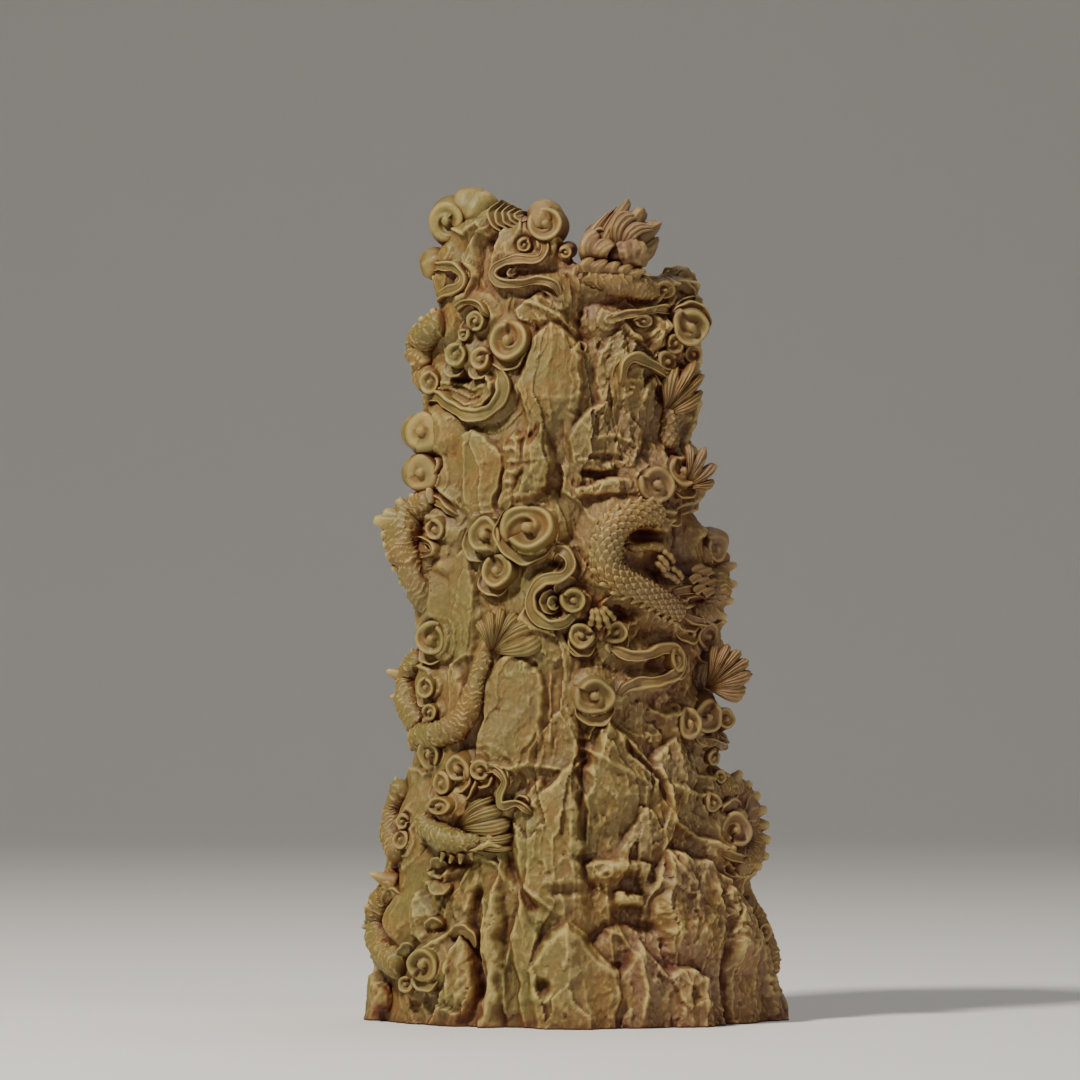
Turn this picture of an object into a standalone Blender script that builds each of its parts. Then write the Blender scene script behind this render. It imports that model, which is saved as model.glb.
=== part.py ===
"""A rock pinnacle carved from one piece of boxwood, with dragons coiling among scrolled clouds.

The whole carving is one solid. It is laid out in parts, 211 to its height, so that at the real
size one part is one millimetre. A place on it is an angle round the column, a height, and how far
it stands out from the smooth column. seen(x, z) gives the place that shows at x parts to the
right of the middle from the carved face, and turned(degrees, z) gives one on any side, with the
degrees running from the carved face towards +X.
"""
import itertools
import math

import bmesh
import bpy
import numpy as np
from mathutils import Matrix, Vector

# Driving sizes, in metres
HEIGHT = 0.211            # underside to the top of the crown
PARTS = 211.0             # the carving's own measure of its height
PART = HEIGHT / PARTS
BASE_SINK = 0.003         # how far the rough rock runs on below the underside, before the flat cut
MERGE_CELL = 0.0007       # how finely the shapes are grown into one solid
FACETS = 9700             # triangles kept in the finished solid
FADE_BEHIND = (0, 25)     # depths between which the carved face gives way to the plainer hidden one
CARVED_FACE_FREEDOM = 0.8 # how freely the carved face is thinned, where the hidden one is 1
THIN_BEHIND = 1.0         # how much that freedom counts

# The smooth column: height, left edge, right edge and half depth, in parts
COLUMN = np.array((
    (-4, -50.5, 50.5, 38.0),
    (18, -48.0, 45.5, 37.0),
    (32, -46.5, 40.5, 35.5),
    (45, -44.5, 38.5, 34.0),
    (70, -40.5, 33.5, 31.5),
    (95, -37.5, 32.0, 30.0),
    (118, -36.0, 29.5, 29.0),
    (135, -35.5, 28.5, 28.5),
    (146, -35.5, 25.5, 28.0),
    (155, -35.5, 27.0, 27.0),
    (170, -35.0, 28.5, 25.5),
    (188, -34.0, 28.0, 22.5),
    (212, -32.0, 27.0, 14.0),
))
# The ragged top of the rock: x and height over the carved face, and over the hidden one
SKYLINE = np.array((
    (-38, 193), (-31, 201), (-20, 202.5), (-9, 201), (-4, 196), (-1, 190.5), (2, 188.5),
    (12, 188), (18, 186.5), (22, 188), (27, 188), (30, 184), (32, 179),
))
HIDDEN_SKYLINE = np.array((
    (-38, 184), (-30, 194), (-24, 200), (-15, 194), (-8, 201), (0, 195), (7, 190), (14, 194), (22, 186),
    (32, 176),
))
STRIPS_AROUND = 160
RINGS = 140
UNDERSIDE_SHARE = 0.05    # of the rings of the rock that lie in its underside
CROWN_SHARE = 0.10        # and in its top
CROWN_ROUGH = 3.0         # how far the top rises and falls round its skyline
CROWN_CELL = 7.0
EDGE_SLOPE = 1.5          # how steeply a crag's edges rise
FOOT_FADE = 0.35          # share of a crag's height over which its foot sinks into the rock
WARP = 1.6                # how far noise bends the crags' edges
WARP_CELL = 9.0
GROOVE = 0.9              # depth of the upright runs in the rock
GROOVE_CELL = (4.5, 4.5, 26.0)
NOISE_SIDE = 32           # cells across the block of random values


def column(z):
    """Middle, half width and half depth of the smooth column at a height."""
    left, right, half_depth = (np.interp(z, COLUMN[:, 0], COLUMN[:, i]) for i in (1, 2, 3))
    return (left + right) / 2, (right - left) / 2, half_depth


def on_rock(angle, z, out=0.0):
    """The point that stands out from the smooth column by so many parts."""
    middle, half_width, half_depth = column(z)
    return Vector((middle + (half_width + out) * math.sin(angle), -(half_depth + out) * math.cos(angle), z))


def outward(angle, z):
    """The direction that faces straight away from the column."""
    _, half_width, half_depth = column(z)
    return Vector((math.sin(angle) * half_depth, -math.cos(angle) * half_width, 0.0)).normalized()


def seen(x, z, out=0.0):
    """The place that shows at x and z from the carved face."""
    middle, half_width, _ = column(z)
    return math.asin(max(-1.0, min(1.0, (x - middle) / (half_width + out)))), z, out


def turned(degrees, z, out=0.0):
    """The place at an angle from the carved face towards +X."""
    return math.radians(degrees), z, out


# Crags: slabs of rock with a pointed top. The place of the peak, the height of the foot, the reach to the
# left and to the right of the ridge, the depth of the shoulders below the peak, how far it stands out, and
# how much its ridge leans.
CRAGS = (
    # the foot of the carved face
    (seen(-3.2, 27.5), -20, 12.5, 10.8, 13, 7.0, 0.05),
    (seen(15.5, 23), -20, 9, 8, 12, 4.5, -0.15),
    (seen(20.8, 45), 12, 3.5, 22, 9, 6.5, 0.0),
    (seen(33, 38), 12, 6, 11, 5, 7.0, 0.0),
    (seen(27, 17), -20, 10, 5.5, 6, 5.0, 0.0),
    (seen(41, 30), -20, 8, 9, 9, 4.5, 0.1),
    (seen(-29, 25.5), -4, 5.8, 3.6, 9, 4.0, 0.0),
    (seen(-21.5, 38), -20, 3.2, 3.2, 6, 4.5, 0.0),
    (seen(-50, 12), -20, 5, 6, 4, 4.0, 0.0),
    (seen(-38, 34), 14, 4, 3.5, 6, 4.0, 0.1),
    (seen(-14, 36), -20, 5, 5, 14, 2.5, 0.1),
    # ledges and slabs of the middle
    (seen(11, 41.5), 34, 9, 9, 2, 4.5, 0.0),
    (seen(12, 32.5), 27.5, 7, 7, 1.5, 4.5, 0.0),
    (seen(-1.5, 65.5), 20, 13.5, 3.6, 12, 4.5, 0.0),
    (seen(-9, 64), 30, 7, 6, 10, 2.5, 0.0),
    (seen(8, 76), 48, 6, 12, 14, 5.0, -0.15),
    (seen(18, 62), 40, 8, 7, 12, 3.5, -0.2),
    (seen(24, 74), 46, 8, 6, 8, 3.0, 0.0),
    (seen(-16, 92.5), 58, 6.5, 8.5, 8, 3.5, -0.05),
    (seen(-30, 90), 60, 5, 5, 8, 2.5, 0.0),
    (seen(-10, 108), 86, 8, 8, 10, 2.0, 0.0),
    (seen(-29, 118), 88, 6, 7, 10, 2.5, 0.0),
    # spires of the upper half
    (seen(-10.8, 152.5), 122, 3.2, 5.6, 9, 6.0, -0.12),
    (seen(-15.5, 149), 122, 3.4, 3, 5, 4.0, 0.0),
    (seen(-24, 149), 118, 6.5, 5.5, 7, 4.0, 0.0),
    (seen(-5.5, 175.5), 146, 6, 8.5, 9, 4.0, 0.0),
    (seen(6, 158), 134, 8, 13, 10, 2.5, 0.0),
    (seen(13, 178), 146, 9, 10, 10, 2.0, 0.0),
    (seen(8, 137.5), 131, 8.5, 9, 2, 3.5, 0.0),
    (seen(12, 147), 137, 9, 8, 3, 3.5, 0.0),
    (seen(-8, 184), 177, 5, 6, 2.5, 5.0, 0.0),
    (seen(-22, 200), 174, 5.5, 3.5, 12, 3.5, -0.35),
    (seen(-12, 203), 184, 8, 8, 5, 3.0, 0.0),
    # the right and left flanks
    (turned(78, 62), 26, 9, 9, 12, 3.5, 0.0),
    (turned(95, 40), -20, 12, 10, 16, 4.5, 0.05),
    (turned(100, 118), 78, 9, 9, 14, 3.0, 0.0),
    (turned(97, 168), 128, 8, 9, 14, 3.0, 0.0),
    (turned(-97, 54), 10, 9, 9, 14, 3.0, 0.0),
    (turned(-110, 34), -20, 12, 12, 15, 5.0, 0.0),
    (turned(-100, 112), 72, 9, 9, 14, 3.0, 0.0),
    (turned(-100, 170), 134, 9, 8, 12, 3.0, 0.0),
    # the hidden face, plainer
    (turned(132, 54), -20, 14, 13, 18, 6.5, 0.1),
    (turned(160, 36), -20, 12, 14, 14, 5.5, 0.0),
    (turned(196, 46), -20, 13, 13, 18, 7.0, -0.1),
    (turned(228, 30), -20, 12, 12, 13, 5.0, 0.0),
    (turned(150, 96), 46, 11, 12, 18, 5.0, 0.1),
    (turned(184, 104), 50, 10, 12, 20, 6.0, 0.0),
    (turned(218, 88), 42, 12, 11, 16, 5.0, 0.0),
    (turned(128, 128), 88, 11, 10, 15, 4.5, 0.0),
    (turned(165, 150), 102, 12, 10, 18, 5.5, -0.1),
    (turned(205, 142), 98, 11, 12, 16, 5.0, 0.0),
    (turned(236, 128), 84, 11, 10, 14, 4.0, 0.0),
    (turned(140, 182), 138, 11, 11, 14, 5.0, 0.0),
    (turned(180, 196), 150, 11, 11, 16, 5.0, 0.0),
    (turned(222, 186), 142, 12, 10, 14, 5.0, 0.0),
)
# Crevices cut into the rock: their route, depth and half width
CREVICES = (
    ((seen(0.8, 196), seen(0.6, 183), seen(2.0, 172)), 4.5, 1.8),
    ((seen(2.4, 96), seen(2.0, 84), seen(1.6, 66)), 3.0, 1.5),
    ((seen(-24, 8), seen(-26.5, 22), seen(-25.5, 33)), 3.0, 1.5),
    ((seen(-11, 30), seen(-17, 40), seen(-17.5, 60)), 2.0, 1.3),
    ((seen(3, 22), seen(10, 27), seen(18, 25)), 2.5, 1.6),
    ((seen(-1, 136), seen(6, 137), seen(12, 138.5)), 2.5, 1.2),
    ((seen(38, 0), seen(36.5, 14), seen(35, 26)), 3.0, 1.5),
)

# Rounded masses: the place of the middle, and the reach sideways, up and outwards
LUMPS = (
    (seen(-26.8, 205.4, -5.0), 5.4, 5.6, 6.0),      # the crown's dome, the highest point
    (seen(-8.2, 202.0, -2.0), 4.4, 4.4, 5.0),       # the dome behind the crown's right scroll
    (seen(-16.5, 200.6, -1.0), 7.2, 4.2, 4.0),      # the crown's folded cloud
    (seen(-38.6, 190.5, 2.0), 3.8, 4.4, 4.5),
    (seen(-39.6, 148.2, 3.5), 5.6, 4.6, 5.5),
    (seen(-40.0, 138.0, 3.5), 5.2, 4.6, 5.5),
    (seen(-36.5, 119.0, 1.0), 7.0, 10.5, 6.0),      # what the left coil wraps
    (seen(-36.0, 82.5, 1.0), 6.0, 8.0, 5.0),
    (seen(39.0, 47.5, 1.0), 4.0, 8.5, 5.0),         # what the right coil wraps
    (seen(31.0, 108.5, 1.0), 4.5, 7.0, 5.0),
    (seen(-35.2, 195.5, 0.0), 3.6, 4.5, 4.0),
    (seen(-33.5, 184.5, 0.0), 3.4, 5.0, 4.0),
    (seen(35.0, 72.0, 1.0), 3.4, 5.0, 4.0),
    (seen(25.0, 185.0, -3.0), 5.0, 5.2, 6.0),       # cloud heads of the right shoulder
    (seen(27.5, 178.0, 0.0), 5.2, 6.5, 6.0),
    (seen(6.6, 194.8, -2.0), 4.6, 8.2, 4.5),        # the finial behind its flames
    (seen(11.5, 199.5, -3.0), 5.0, 5.6, 4.0),
    (seen(14.0, 193.0, -1.0), 4.2, 7.0, 4.5),
    (seen(-43.0, 23.0, 0.0), 5.5, 8.0, 5.0),
)

# Cloud scrolls: place, radius, and how far the face turns sideways from straight out, in degrees
SCROLLS = (
    (seen(-33.3, 200.9, 2.0), 5.0, 35),
    (seen(-7.9, 200.4, 4.0), 4.5, 0),
    (seen(-25.6, 175.8, 2.5), 2.9, 0),
    (seen(-17.7, 171.0, 3.5), 5.2, 0),
    (seen(-24.7, 166.5, 3.0), 3.1, 0),
    (seen(-31.5, 168.5, 4.0), 3.2, 0),
    (seen(-37.8, 160.2, 4.0), 3.2, 30),
    (seen(-12.6, 123.3, 4.0), 7.2, 0),
    (seen(-23.3, 122.0, 3.0), 4.7, 0),
    (seen(-20.9, 114.0, 2.5), 4.6, 0),
    (seen(-1.5, 106.0, 2.5), 3.0, 0),
    (seen(-36.7, 96.5, 3.5), 4.4, 20),
    (seen(-38.5, 84.0, 4.0), 2.8, 20),
    (seen(-37.6, 66.8, 3.0), 3.6, 15),
    (seen(-30.0, 64.1, 3.0), 3.7, 0),
    (seen(-25.2, 63.6, 2.5), 3.4, 0),
    (seen(-35.5, 53.9, 3.5), 4.2, 0),
    (seen(-44.0, 48.0, 3.5), 3.0, 30),
    (seen(-39.6, 14.6, 5.0), 4.6, 0),
    (seen(23.2, 183.0, 3.0), 2.9, 0),
    (seen(29.6, 174.0, 5.0), 4.8, -25),
    (seen(24.6, 170.0, 3.5), 2.4, 0),
    (seen(29.0, 167.6, 4.0), 2.6, -15),
    (seen(23.0, 165.0, 3.0), 3.8, 0),
    (seen(16.5, 174.5, 2.0), 2.9, 0),
    (seen(20.5, 135.4, 4.0), 5.0, 0),
    (seen(26.8, 138.5, 5.0), 4.3, -15),
    (seen(35.2, 118.6, 5.0), 4.4, -40),
    (seen(33.0, 97.0, 4.0), 4.0, -20),
    (seen(25.4, 91.6, 3.0), 3.9, 0),
    (seen(4.0, 82.5, 3.0), 5.5, 0),
    (seen(28.5, 75.8, 3.5), 3.8, -10),
    (seen(33.0, 76.2, 3.5), 4.4, -20),
    (seen(37.5, 76.0, 4.0), 2.8, -40),
    (seen(39.5, 50.5, 4.0), 4.9, -25),
    (seen(39.8, 58.0, 3.0), 2.4, -20),
    (seen(46.5, 22.5, 3.0), 2.8, -40),
    (turned(118, 104, 3.0), 5.5, 0),
    (turned(124, 96, 3.0), 3.8, 0),
    (turned(152, 170, 3.0), 6.0, 0),
    (turned(164, 164, 2.5), 4.2, 0),
    (turned(176, 78, 4.0), 6.2, 0),
    (turned(188, 70, 3.5), 4.4, 0),
    (turned(206, 120, 3.5), 5.8, 0),
    (turned(218, 128, 3.0), 4.2, 0),
    (turned(242, 176, 3.0), 5.0, 0),
    (turned(236, 60, 3.5), 5.0, 0),
)
SCROLL_THICK = 5.0        # of a scroll's disc, most of it sunk in the rock
RIM = 0.9                 # radius of a scroll's rolled rim

# Cloud ribbons: route and width
RIBBONS = (
    ((seen(-7.0, 196), seen(-7.4, 193), seen(-10.5, 190.5), seen(-14.8, 191.3), seen(-18.5, 190),
      seen(-20, 187.5), seen(-18.5, 184.8), seen(-14.8, 185.3), seen(-10.8, 185.8), seen(-5.5, 184.4)), 2.4),
    ((seen(-34.5, 193.8), seen(-33.5, 190), seen(-30.8, 190.5), seen(-28.3, 189.3), seen(-26.5, 186.5),
      seen(-28.3, 183.8), seen(-31.8, 182.5), seen(-34, 179.8)), 2.4),
    ((seen(-35.3, 156.8), seen(-32.8, 157.5), seen(-29.3, 154), seen(-24.8, 151.8), seen(-20.8, 153.5),
      seen(-18, 158), seen(-18, 161.5), seen(-19.8, 164.3)), 2.8),
    ((seen(-38, 143.5), seen(-34.5, 141), seen(-32.5, 136), seen(-34.5, 131.5), seen(-31, 129),
      seen(-28.8, 126)), 2.4),
    ((seen(-6.5, 119.8), seen(-2.8, 118), seen(-1.5, 114.5), seen(-4.5, 111.8), seen(-8.5, 110.8),
      seen(-10.8, 107.3), seen(-10, 102.3), seen(-6.5, 99.8), seen(-2.8, 100), seen(-1, 102.8)), 2.8),
    ((seen(8, 94.3), seen(11, 92), seen(15.5, 92), seen(18.8, 93.5), seen(22.3, 93.5), seen(24, 90.8),
      seen(23.3, 87.3), seen(19.5, 85.5), seen(15.5, 85), seen(11, 84), seen(9.8, 81.5)), 2.6),
    ((seen(8.5, 161), seen(9.8, 166.5), seen(12.5, 167.3), seen(15.5, 165.3), seen(17.8, 167.8),
      seen(18.8, 171)), 2.2),
    ((seen(-22, 63.3), seen(-19.3, 63.8), seen(-17, 61.5), seen(-18, 58.3), seen(-17.8, 54.8),
      seen(-14, 55.8), seen(-10.8, 53)), 2.2),
    ((seen(7.5, 176.5), seen(11, 176.3), seen(15.5, 177), seen(20.5, 178.5), seen(21.8, 176.5)), 2.2),
    ((seen(22.5, 108.5, 2), seen(26.8, 109, 2), seen(30.5, 107.8, 2), seen(33.5, 104.8, 2),
      seen(32.5, 101, 2), seen(28, 101, 2), seen(24.5, 103, 2)), 2.6),
    ((turned(112, 112), turned(122, 118), turned(132, 112), turned(128, 104), turned(136, 98)), 2.8),
    ((turned(160, 160), turned(172, 166), turned(182, 160), turned(178, 152), turned(188, 146)), 2.8),
    ((turned(168, 72), turned(160, 66), turned(166, 58), turned(178, 60), turned(190, 62)), 2.8),
    ((turned(214, 116), turned(226, 112), turned(236, 118), turned(246, 112)), 2.8),
)
RIBBON_OUT = 3.0          # how far a ribbon's middle stands out from the smooth column

# Dragon bodies: route, and the radius at its start, middle and end
MAIN_COIL = (
    (seen(28, 132, 3), seen(20.5, 129.5, 4), seen(13.3, 128.8, 4), seen(8.5, 126, 4), seen(5.5, 120.8, 4),
     seen(5.3, 114.5, 4), seen(9.8, 110.3, 4), seen(15.5, 107.8, 4), seen(22.3, 104.5, 3),
     seen(28, 101.8, 2)),
    3.2, 4.6, 3.6)
NECK = (
    (seen(0.8, 186.8, 0), seen(5, 185.6, 1.5), seen(10, 184.8, 2), seen(15, 184.2, 2), seen(20, 182.2, 1)),
    2.6, 3.6, 2.6)
LEFT_SHOULDER = (
    (seen(-32.8, 175.5, 2), seen(-36.8, 173.8, 3.5), seen(-38.8, 170.5, 4), seen(-39.4, 166.5, 4),
     seen(-38, 162.5, 3), seen(-34.5, 161, 2)), 3.0, 4.0, 3.4)
LEFT_COIL = (
    (seen(-33.3, 131.5, 2), seen(-39.5, 128.5, 6), seen(-43.0, 124.5, 9), seen(-43.0, 119, 9),
     seen(-40.8, 113, 7), seen(-38.0, 107.5, 4), seen(-35.5, 103, 1)), 3.4, 4.4, 3.2)
LEFT_TAIL = (
    (seen(-22.3, 93.3, 2.5), seen(-24.5, 88, 3), seen(-26, 83, 3), seen(-27.5, 77.3, 3), seen(-32, 73.5, 3),
     seen(-37, 72.3, 3), seen(-40.3, 71, 2)), 1.4, 3.0, 3.6)
LEFT_BEND = (
    (seen(-39.0, 92, 2), seen(-42.0, 86, 4), seen(-42.0, 79.8, 4), seen(-39.5, 73.5, 2)), 3.0, 3.6, 3.2)
LOW_TAIL = (
    (seen(-38.3, 54.3, 3), seen(-37.5, 49, 3), seen(-33.3, 45.8, 3), seen(-28.3, 45, 3),
     seen(-23.3, 46.3, 2)),
    4.2, 3.4, 2.0)
LOW_BEND = (
    (seen(-43.0, 60, 2), seen(-45.5, 53.5, 3), seen(-46.0, 47.3, 3), seen(-44.5, 41, 2)), 3.2, 3.6, 3.2)
FOOT_COIL = (
    (seen(-45.0, 36, 1), seen(-48.5, 29.8, 2), seen(-49.5, 23.5, 2), seen(-48.3, 17.3, 2),
     seen(-43.3, 14.5, 2)),
    3.6, 4.2, 3.4)
RIGHT_COIL = (
    (seen(34, 58.5, 1), seen(39.5, 58, 3), seen(43, 53, 5), seen(43.5, 47, 5), seen(42.5, 41, 4),
     seen(38.5, 38.5, 2)), 3.8, 4.6, 3.8)
RIGHT_BEND = (
    (seen(30.0, 117, 2), seen(33.8, 114, 4), seen(34.2, 108.5, 5), seen(32.0, 103.5, 4),
     seen(28.0, 100.5, 2)),
    3.4, 4.2, 3.4)
SLIM_TAIL = (
    (seen(25.5, 158.5, 2), seen(23.5, 153.5, 2), seen(22.5, 148.5, 2), seen(23, 143.5, 2)), 1.6, 2.2, 2.4)
FOOT_TAIL = (
    (seen(43, 31, 1), seen(46.5, 24.5, 2), seen(48.5, 18.3, 2), seen(49, 10.8, 1)), 2.6, 3.2, 2.8)
HIDDEN_COILS = (
    ((turned(104, 136, 1), turned(116, 142, 4), turned(130, 140, 5), turned(142, 132, 5), turned(150, 122, 4),
      turned(162, 116, 4), turned(174, 120, 3), turned(182, 128, 1)), 3.0, 4.8, 3.4),
    ((turned(196, 100, 1), turned(208, 104, 4), turned(222, 102, 5), turned(234, 94, 5), turned(244, 86, 4),
      turned(254, 84, 1)), 3.0, 4.8, 3.4),
    ((turned(116, 62, 1), turned(128, 70, 4), turned(142, 70, 5), turned(154, 62, 5), turned(160, 52, 4),
      turned(168, 44, 1)), 3.2, 5.0, 3.4),
    ((turned(192, 170, 1), turned(206, 176, 4), turned(220, 172, 5), turned(232, 162, 4), turned(244, 156, 3),
      turned(256, 158, 1)), 3.0, 4.4, 3.2),
)
DRAGONS = (MAIN_COIL, NECK, LEFT_SHOULDER, LEFT_COIL, LEFT_TAIL, LEFT_BEND, LOW_TAIL, LOW_BEND, FOOT_COIL,
           RIGHT_COIL, RIGHT_BEND, SLIM_TAIL, FOOT_TAIL) + HIDDEN_COILS

# Fans of flame-like hair, and claws: place of the root, how far its face turns sideways in degrees, then
# each lock's direction, length and radius
FANS = (
    (seen(-22.5, 92.5, 3), 25,
     ((108, 9.5, 1.5), (70, 11.5, 1.8), (49, 12.0, 1.8), (29, 13.5, 1.8), (12, 13.8, 1.6))),
    (seen(24, 152.5, 3), -50, ((58, 14.5, 1.9), (44, 17.0, 2.2), (24, 12.0, 1.9))),
    (seen(27, 134.0, 4), -50, ((78, 11.0, 1.8), (57, 12.0, 1.8), (27, 10.5, 1.8), (10, 8.5, 1.5))),
    (seen(33.5, 83.0, 4), -65,
     ((72, 12.0, 1.8), (52, 13.0, 2.0), (31, 13.0, 2.0), (12, 12.0, 1.8), (-18, 9.0, 1.6))),
    (seen(-26.5, 44.5, 3), 25, ((66, 12.0, 1.7), (41, 10.5, 1.7), (3, 11.5, 1.7), (-35, 10.0, 1.5))),
    (seen(8.0, 192.0, 2), -15, ((73, 15.4, 2.0), (56, 14.5, 2.8), (35, 16.0, 2.4), (23, 14.0, 2.2))),
    (seen(3.5, 106.0, 3), 0, ((-98, 7.0, 1.1), (-80, 8.2, 1.1), (-62, 8.2, 1.1), (-45, 8.0, 1.1))),
    (seen(18.5, 119.5, 3), -30, ((-22, 6.5, 1.1), (-36, 8.0, 1.1), (-52, 9.0, 1.1), (-75, 6.5, 1.1))),
    (turned(178, 126, 3), 0, ((120, 11, 1.8), (92, 13, 2.0), (66, 13, 2.0), (38, 11, 1.8))),
    (turned(164, 46, 3), 0, ((-20, 10, 1.7), (4, 12, 1.9), (28, 12, 1.9), (54, 10, 1.7))),
)

# Fins along the backs that break the outline: the body, how far along its route in points, the direction
# as seen in degrees, and how far the tip stands from the body's middle
FINS = (
    (LEFT_COIL, 0.5, 95, 8.0), (LEFT_COIL, 1.0, 105, 8.5), (LEFT_COIL, 1.4, 120, 9.0),
    (LEFT_COIL, 2.1, 176, 12.5), (LEFT_COIL, 2.8, 185, 7.5), (LEFT_COIL, 3.5, 190, 7.0),
    (LEFT_BEND, 1.0, 165, 7.5), (LEFT_SHOULDER, 1.6, 150, 6.0), (LEFT_SHOULDER, 2.6, 180, 6.0),
    (FOOT_COIL, 0.2, 165, 8.0), (FOOT_COIL, 1.6, 172, 6.5), (FOOT_COIL, 2.3, 185, 6.0),
    (RIGHT_COIL, 1.2, 36, 6.5), (RIGHT_COIL, 1.6, 26, 7.5),
    (RIGHT_COIL, 2.1, 12, 8.0), (RIGHT_COIL, 2.6, 2, 8.0), (RIGHT_COIL, 3.1, -6, 8.0),
    (RIGHT_COIL, 3.7, -14, 7.5), (RIGHT_COIL, 4.2, -22, 7.0),
    (RIGHT_BEND, 0.8, 25, 7.5), (RIGHT_BEND, 1.4, 10, 7.5), (RIGHT_BEND, 2.0, 0, 6.5),
    (RIGHT_BEND, 2.6, -12, 6.5), (RIGHT_BEND, 3.2, -22, 6.0),
    (NECK, 0.6, 92, 6.0), (NECK, 1.3, 88, 6.0), (NECK, 2.0, 84, 6.0), (NECK, 2.6, 78, 5.8),
    (NECK, 3.2, 62, 5.5),
)
FIN_BASE = 1.7            # radius of a fin in the middle of the body that it grows from
FIN_TIP = 0.45
FIN_FACES = 10            # faces round a fin

# How finely the shapes are drawn before they grow together
LUMP_NET = (28, 18)       # faces round and up a lump
KNOB_NET = (12, 8)        # and a scroll's knob
DISC_FACES = 24           # faces round a scroll
RIM_FACES = 8             # and round the wood of its rim
BEVEL_STEPS = 3           # steps of a quarter of the way round a body
ROUTE_STEPS = 5           # steps between two places of a route
POINT_GAP = 0.0001        # points nearer than this, in parts, are one

# Shares that shape a scroll, a ribbon, a body and a lock
DISC_FOOT = 0.75          # radius of a scroll's disc at its foot, as a share of its radius
RIM_INSET = 0.8           # how far the rim's middle lies inside the disc's edge, in rim radii
KNOB_SHARE = 0.3          # radius of the knob, as a share of the scroll's
KNOB_LEAST = 1.0          # but never less than this
RIBBON_SINKS = (0.0, 0.6, 1.2)  # how deep a ribbon's copies lie, in widths
WEB_SINK = 0.8            # how deep the web under a body lies, in radii
WEB_RADIUS = 0.85         # and its own radius
LOCK_SINK = 2.0           # how deep a lock's root lies below the smooth column
LOCK_BOW = 1.2            # how far a lock bows outwards
LOCK_SHARES = (0.12, 0.45, 0.75, 1.0)       # places along a lock
LOCK_RADII = (1.0, 1.0, 1.0, 0.85, 0.3)     # radius at the root and at those places
FLANK_FALL = 0.45         # share by which a crag's face falls to its edges
SHOULDER_CURVE = 0.8      # under 1 a crag's shoulders are full
TOP_STEP = 0.6            # how far the rim of a crag's peak stands out


def smooth_noise(points, cell, seed):
    """Random values from -1 to 1 that change smoothly from cell to cell, and are alike each run."""
    block = np.random.default_rng(seed).uniform(-1, 1, (NOISE_SIDE,) * 3)
    whole = np.floor(points / cell).astype(int)
    part = points / cell - whole
    ease = part * part * (3 - 2 * part)
    total = np.zeros(len(points))
    for corner in itertools.product((0, 1), repeat=3):
        weight = np.prod(np.where(corner, ease, 1 - ease), axis=1)
        i, j, k = ((whole + corner) % NOISE_SIDE).T
        total += weight * block[i, j, k]
    return total


def arc_from(place, angle, z):
    """How far round the rock, in parts, each angle lies from a place."""
    _, half_width, half_depth = column(z)
    apart = np.remainder(angle - place[0] + math.pi, 2 * math.pi) - math.pi
    middle = place[0] + apart / 2
    return apart * np.hypot(half_width * np.cos(middle), half_depth * np.sin(middle))


def crag_rise(crag, angle, z, bend_across, bend_up):
    """How far one crag stands out at each point, and 0 outside it."""
    place, foot, left, right, shoulder, proud, lean = crag
    drop = place[1] - z - bend_up
    across = arc_from(place, angle, z) - lean * drop + bend_across
    reach = np.where(across < 0, left, right) * np.clip(drop / shoulder, 0, 1) ** SHOULDER_CURVE
    from_edge = reach - np.abs(across)
    flank = proud * (1 - FLANK_FALL * np.abs(across) / np.maximum(reach, 1e-6))
    rise = np.minimum(np.minimum(flank, EDGE_SLOPE * from_edge), TOP_STEP + EDGE_SLOPE * drop)
    fade = np.clip((z - foot) / (FOOT_FADE * (place[1] - foot)), 0, 1)
    return np.where((drop > 0) & (from_edge > 0), rise * fade, 0.0)


def crevice_cut(crevice, angle, z):
    """How deep one crevice is at each point."""
    route, depth, half_width = crevice
    nearest = np.full(len(z), 1e9)
    for start, end in zip(route, route[1:]):
        from_start = np.stack((arc_from(start, angle, z), z - start[1]))
        from_end = np.stack((arc_from(end, angle, z), z - end[1]))
        along = from_start - from_end
        share = np.clip((from_start * along).sum(0) / (along * along).sum(0), 0, 1)
        nearest = np.minimum(nearest, np.hypot(*(from_start - along * share)))
    return depth * np.exp(-((nearest / half_width) ** 2))


def wall(angle, z, out):
    """The points at each angle and height, so far out from the smooth column."""
    middle, half_width, half_depth = column(z)
    return np.stack((middle + (half_width + out) * np.sin(angle), -(half_depth + out) * np.cos(angle), z), 1)


def relief(angle, z):
    """How far the carved rock stands out from the smooth column at each point."""
    base = wall(angle, z, 0.0)
    bend_across = WARP * smooth_noise(base, WARP_CELL, 1)
    bend_up = WARP * smooth_noise(base, WARP_CELL, 2)
    rise = np.zeros(len(z))
    for crag in CRAGS:
        rise = np.maximum(rise, crag_rise(crag, angle, z, bend_across, bend_up))
    for crevice in CREVICES:
        rise -= crevice_cut(crevice, angle, z)
    return rise + GROOVE * smooth_noise(base, np.array(GROOVE_CELL), 3)


def skyline(x, y):
    """Height of the ragged top over each point, from the carved face's to the hidden one's."""
    _, _, half_depth = column(PARTS)
    share = np.clip((y / half_depth + 1) / 2, 0, 1)
    front = np.interp(x, SKYLINE[:, 0], SKYLINE[:, 1])
    return front + (np.interp(x, HIDDEN_SKYLINE[:, 0], HIDDEN_SKYLINE[:, 1]) - front) * share


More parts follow.
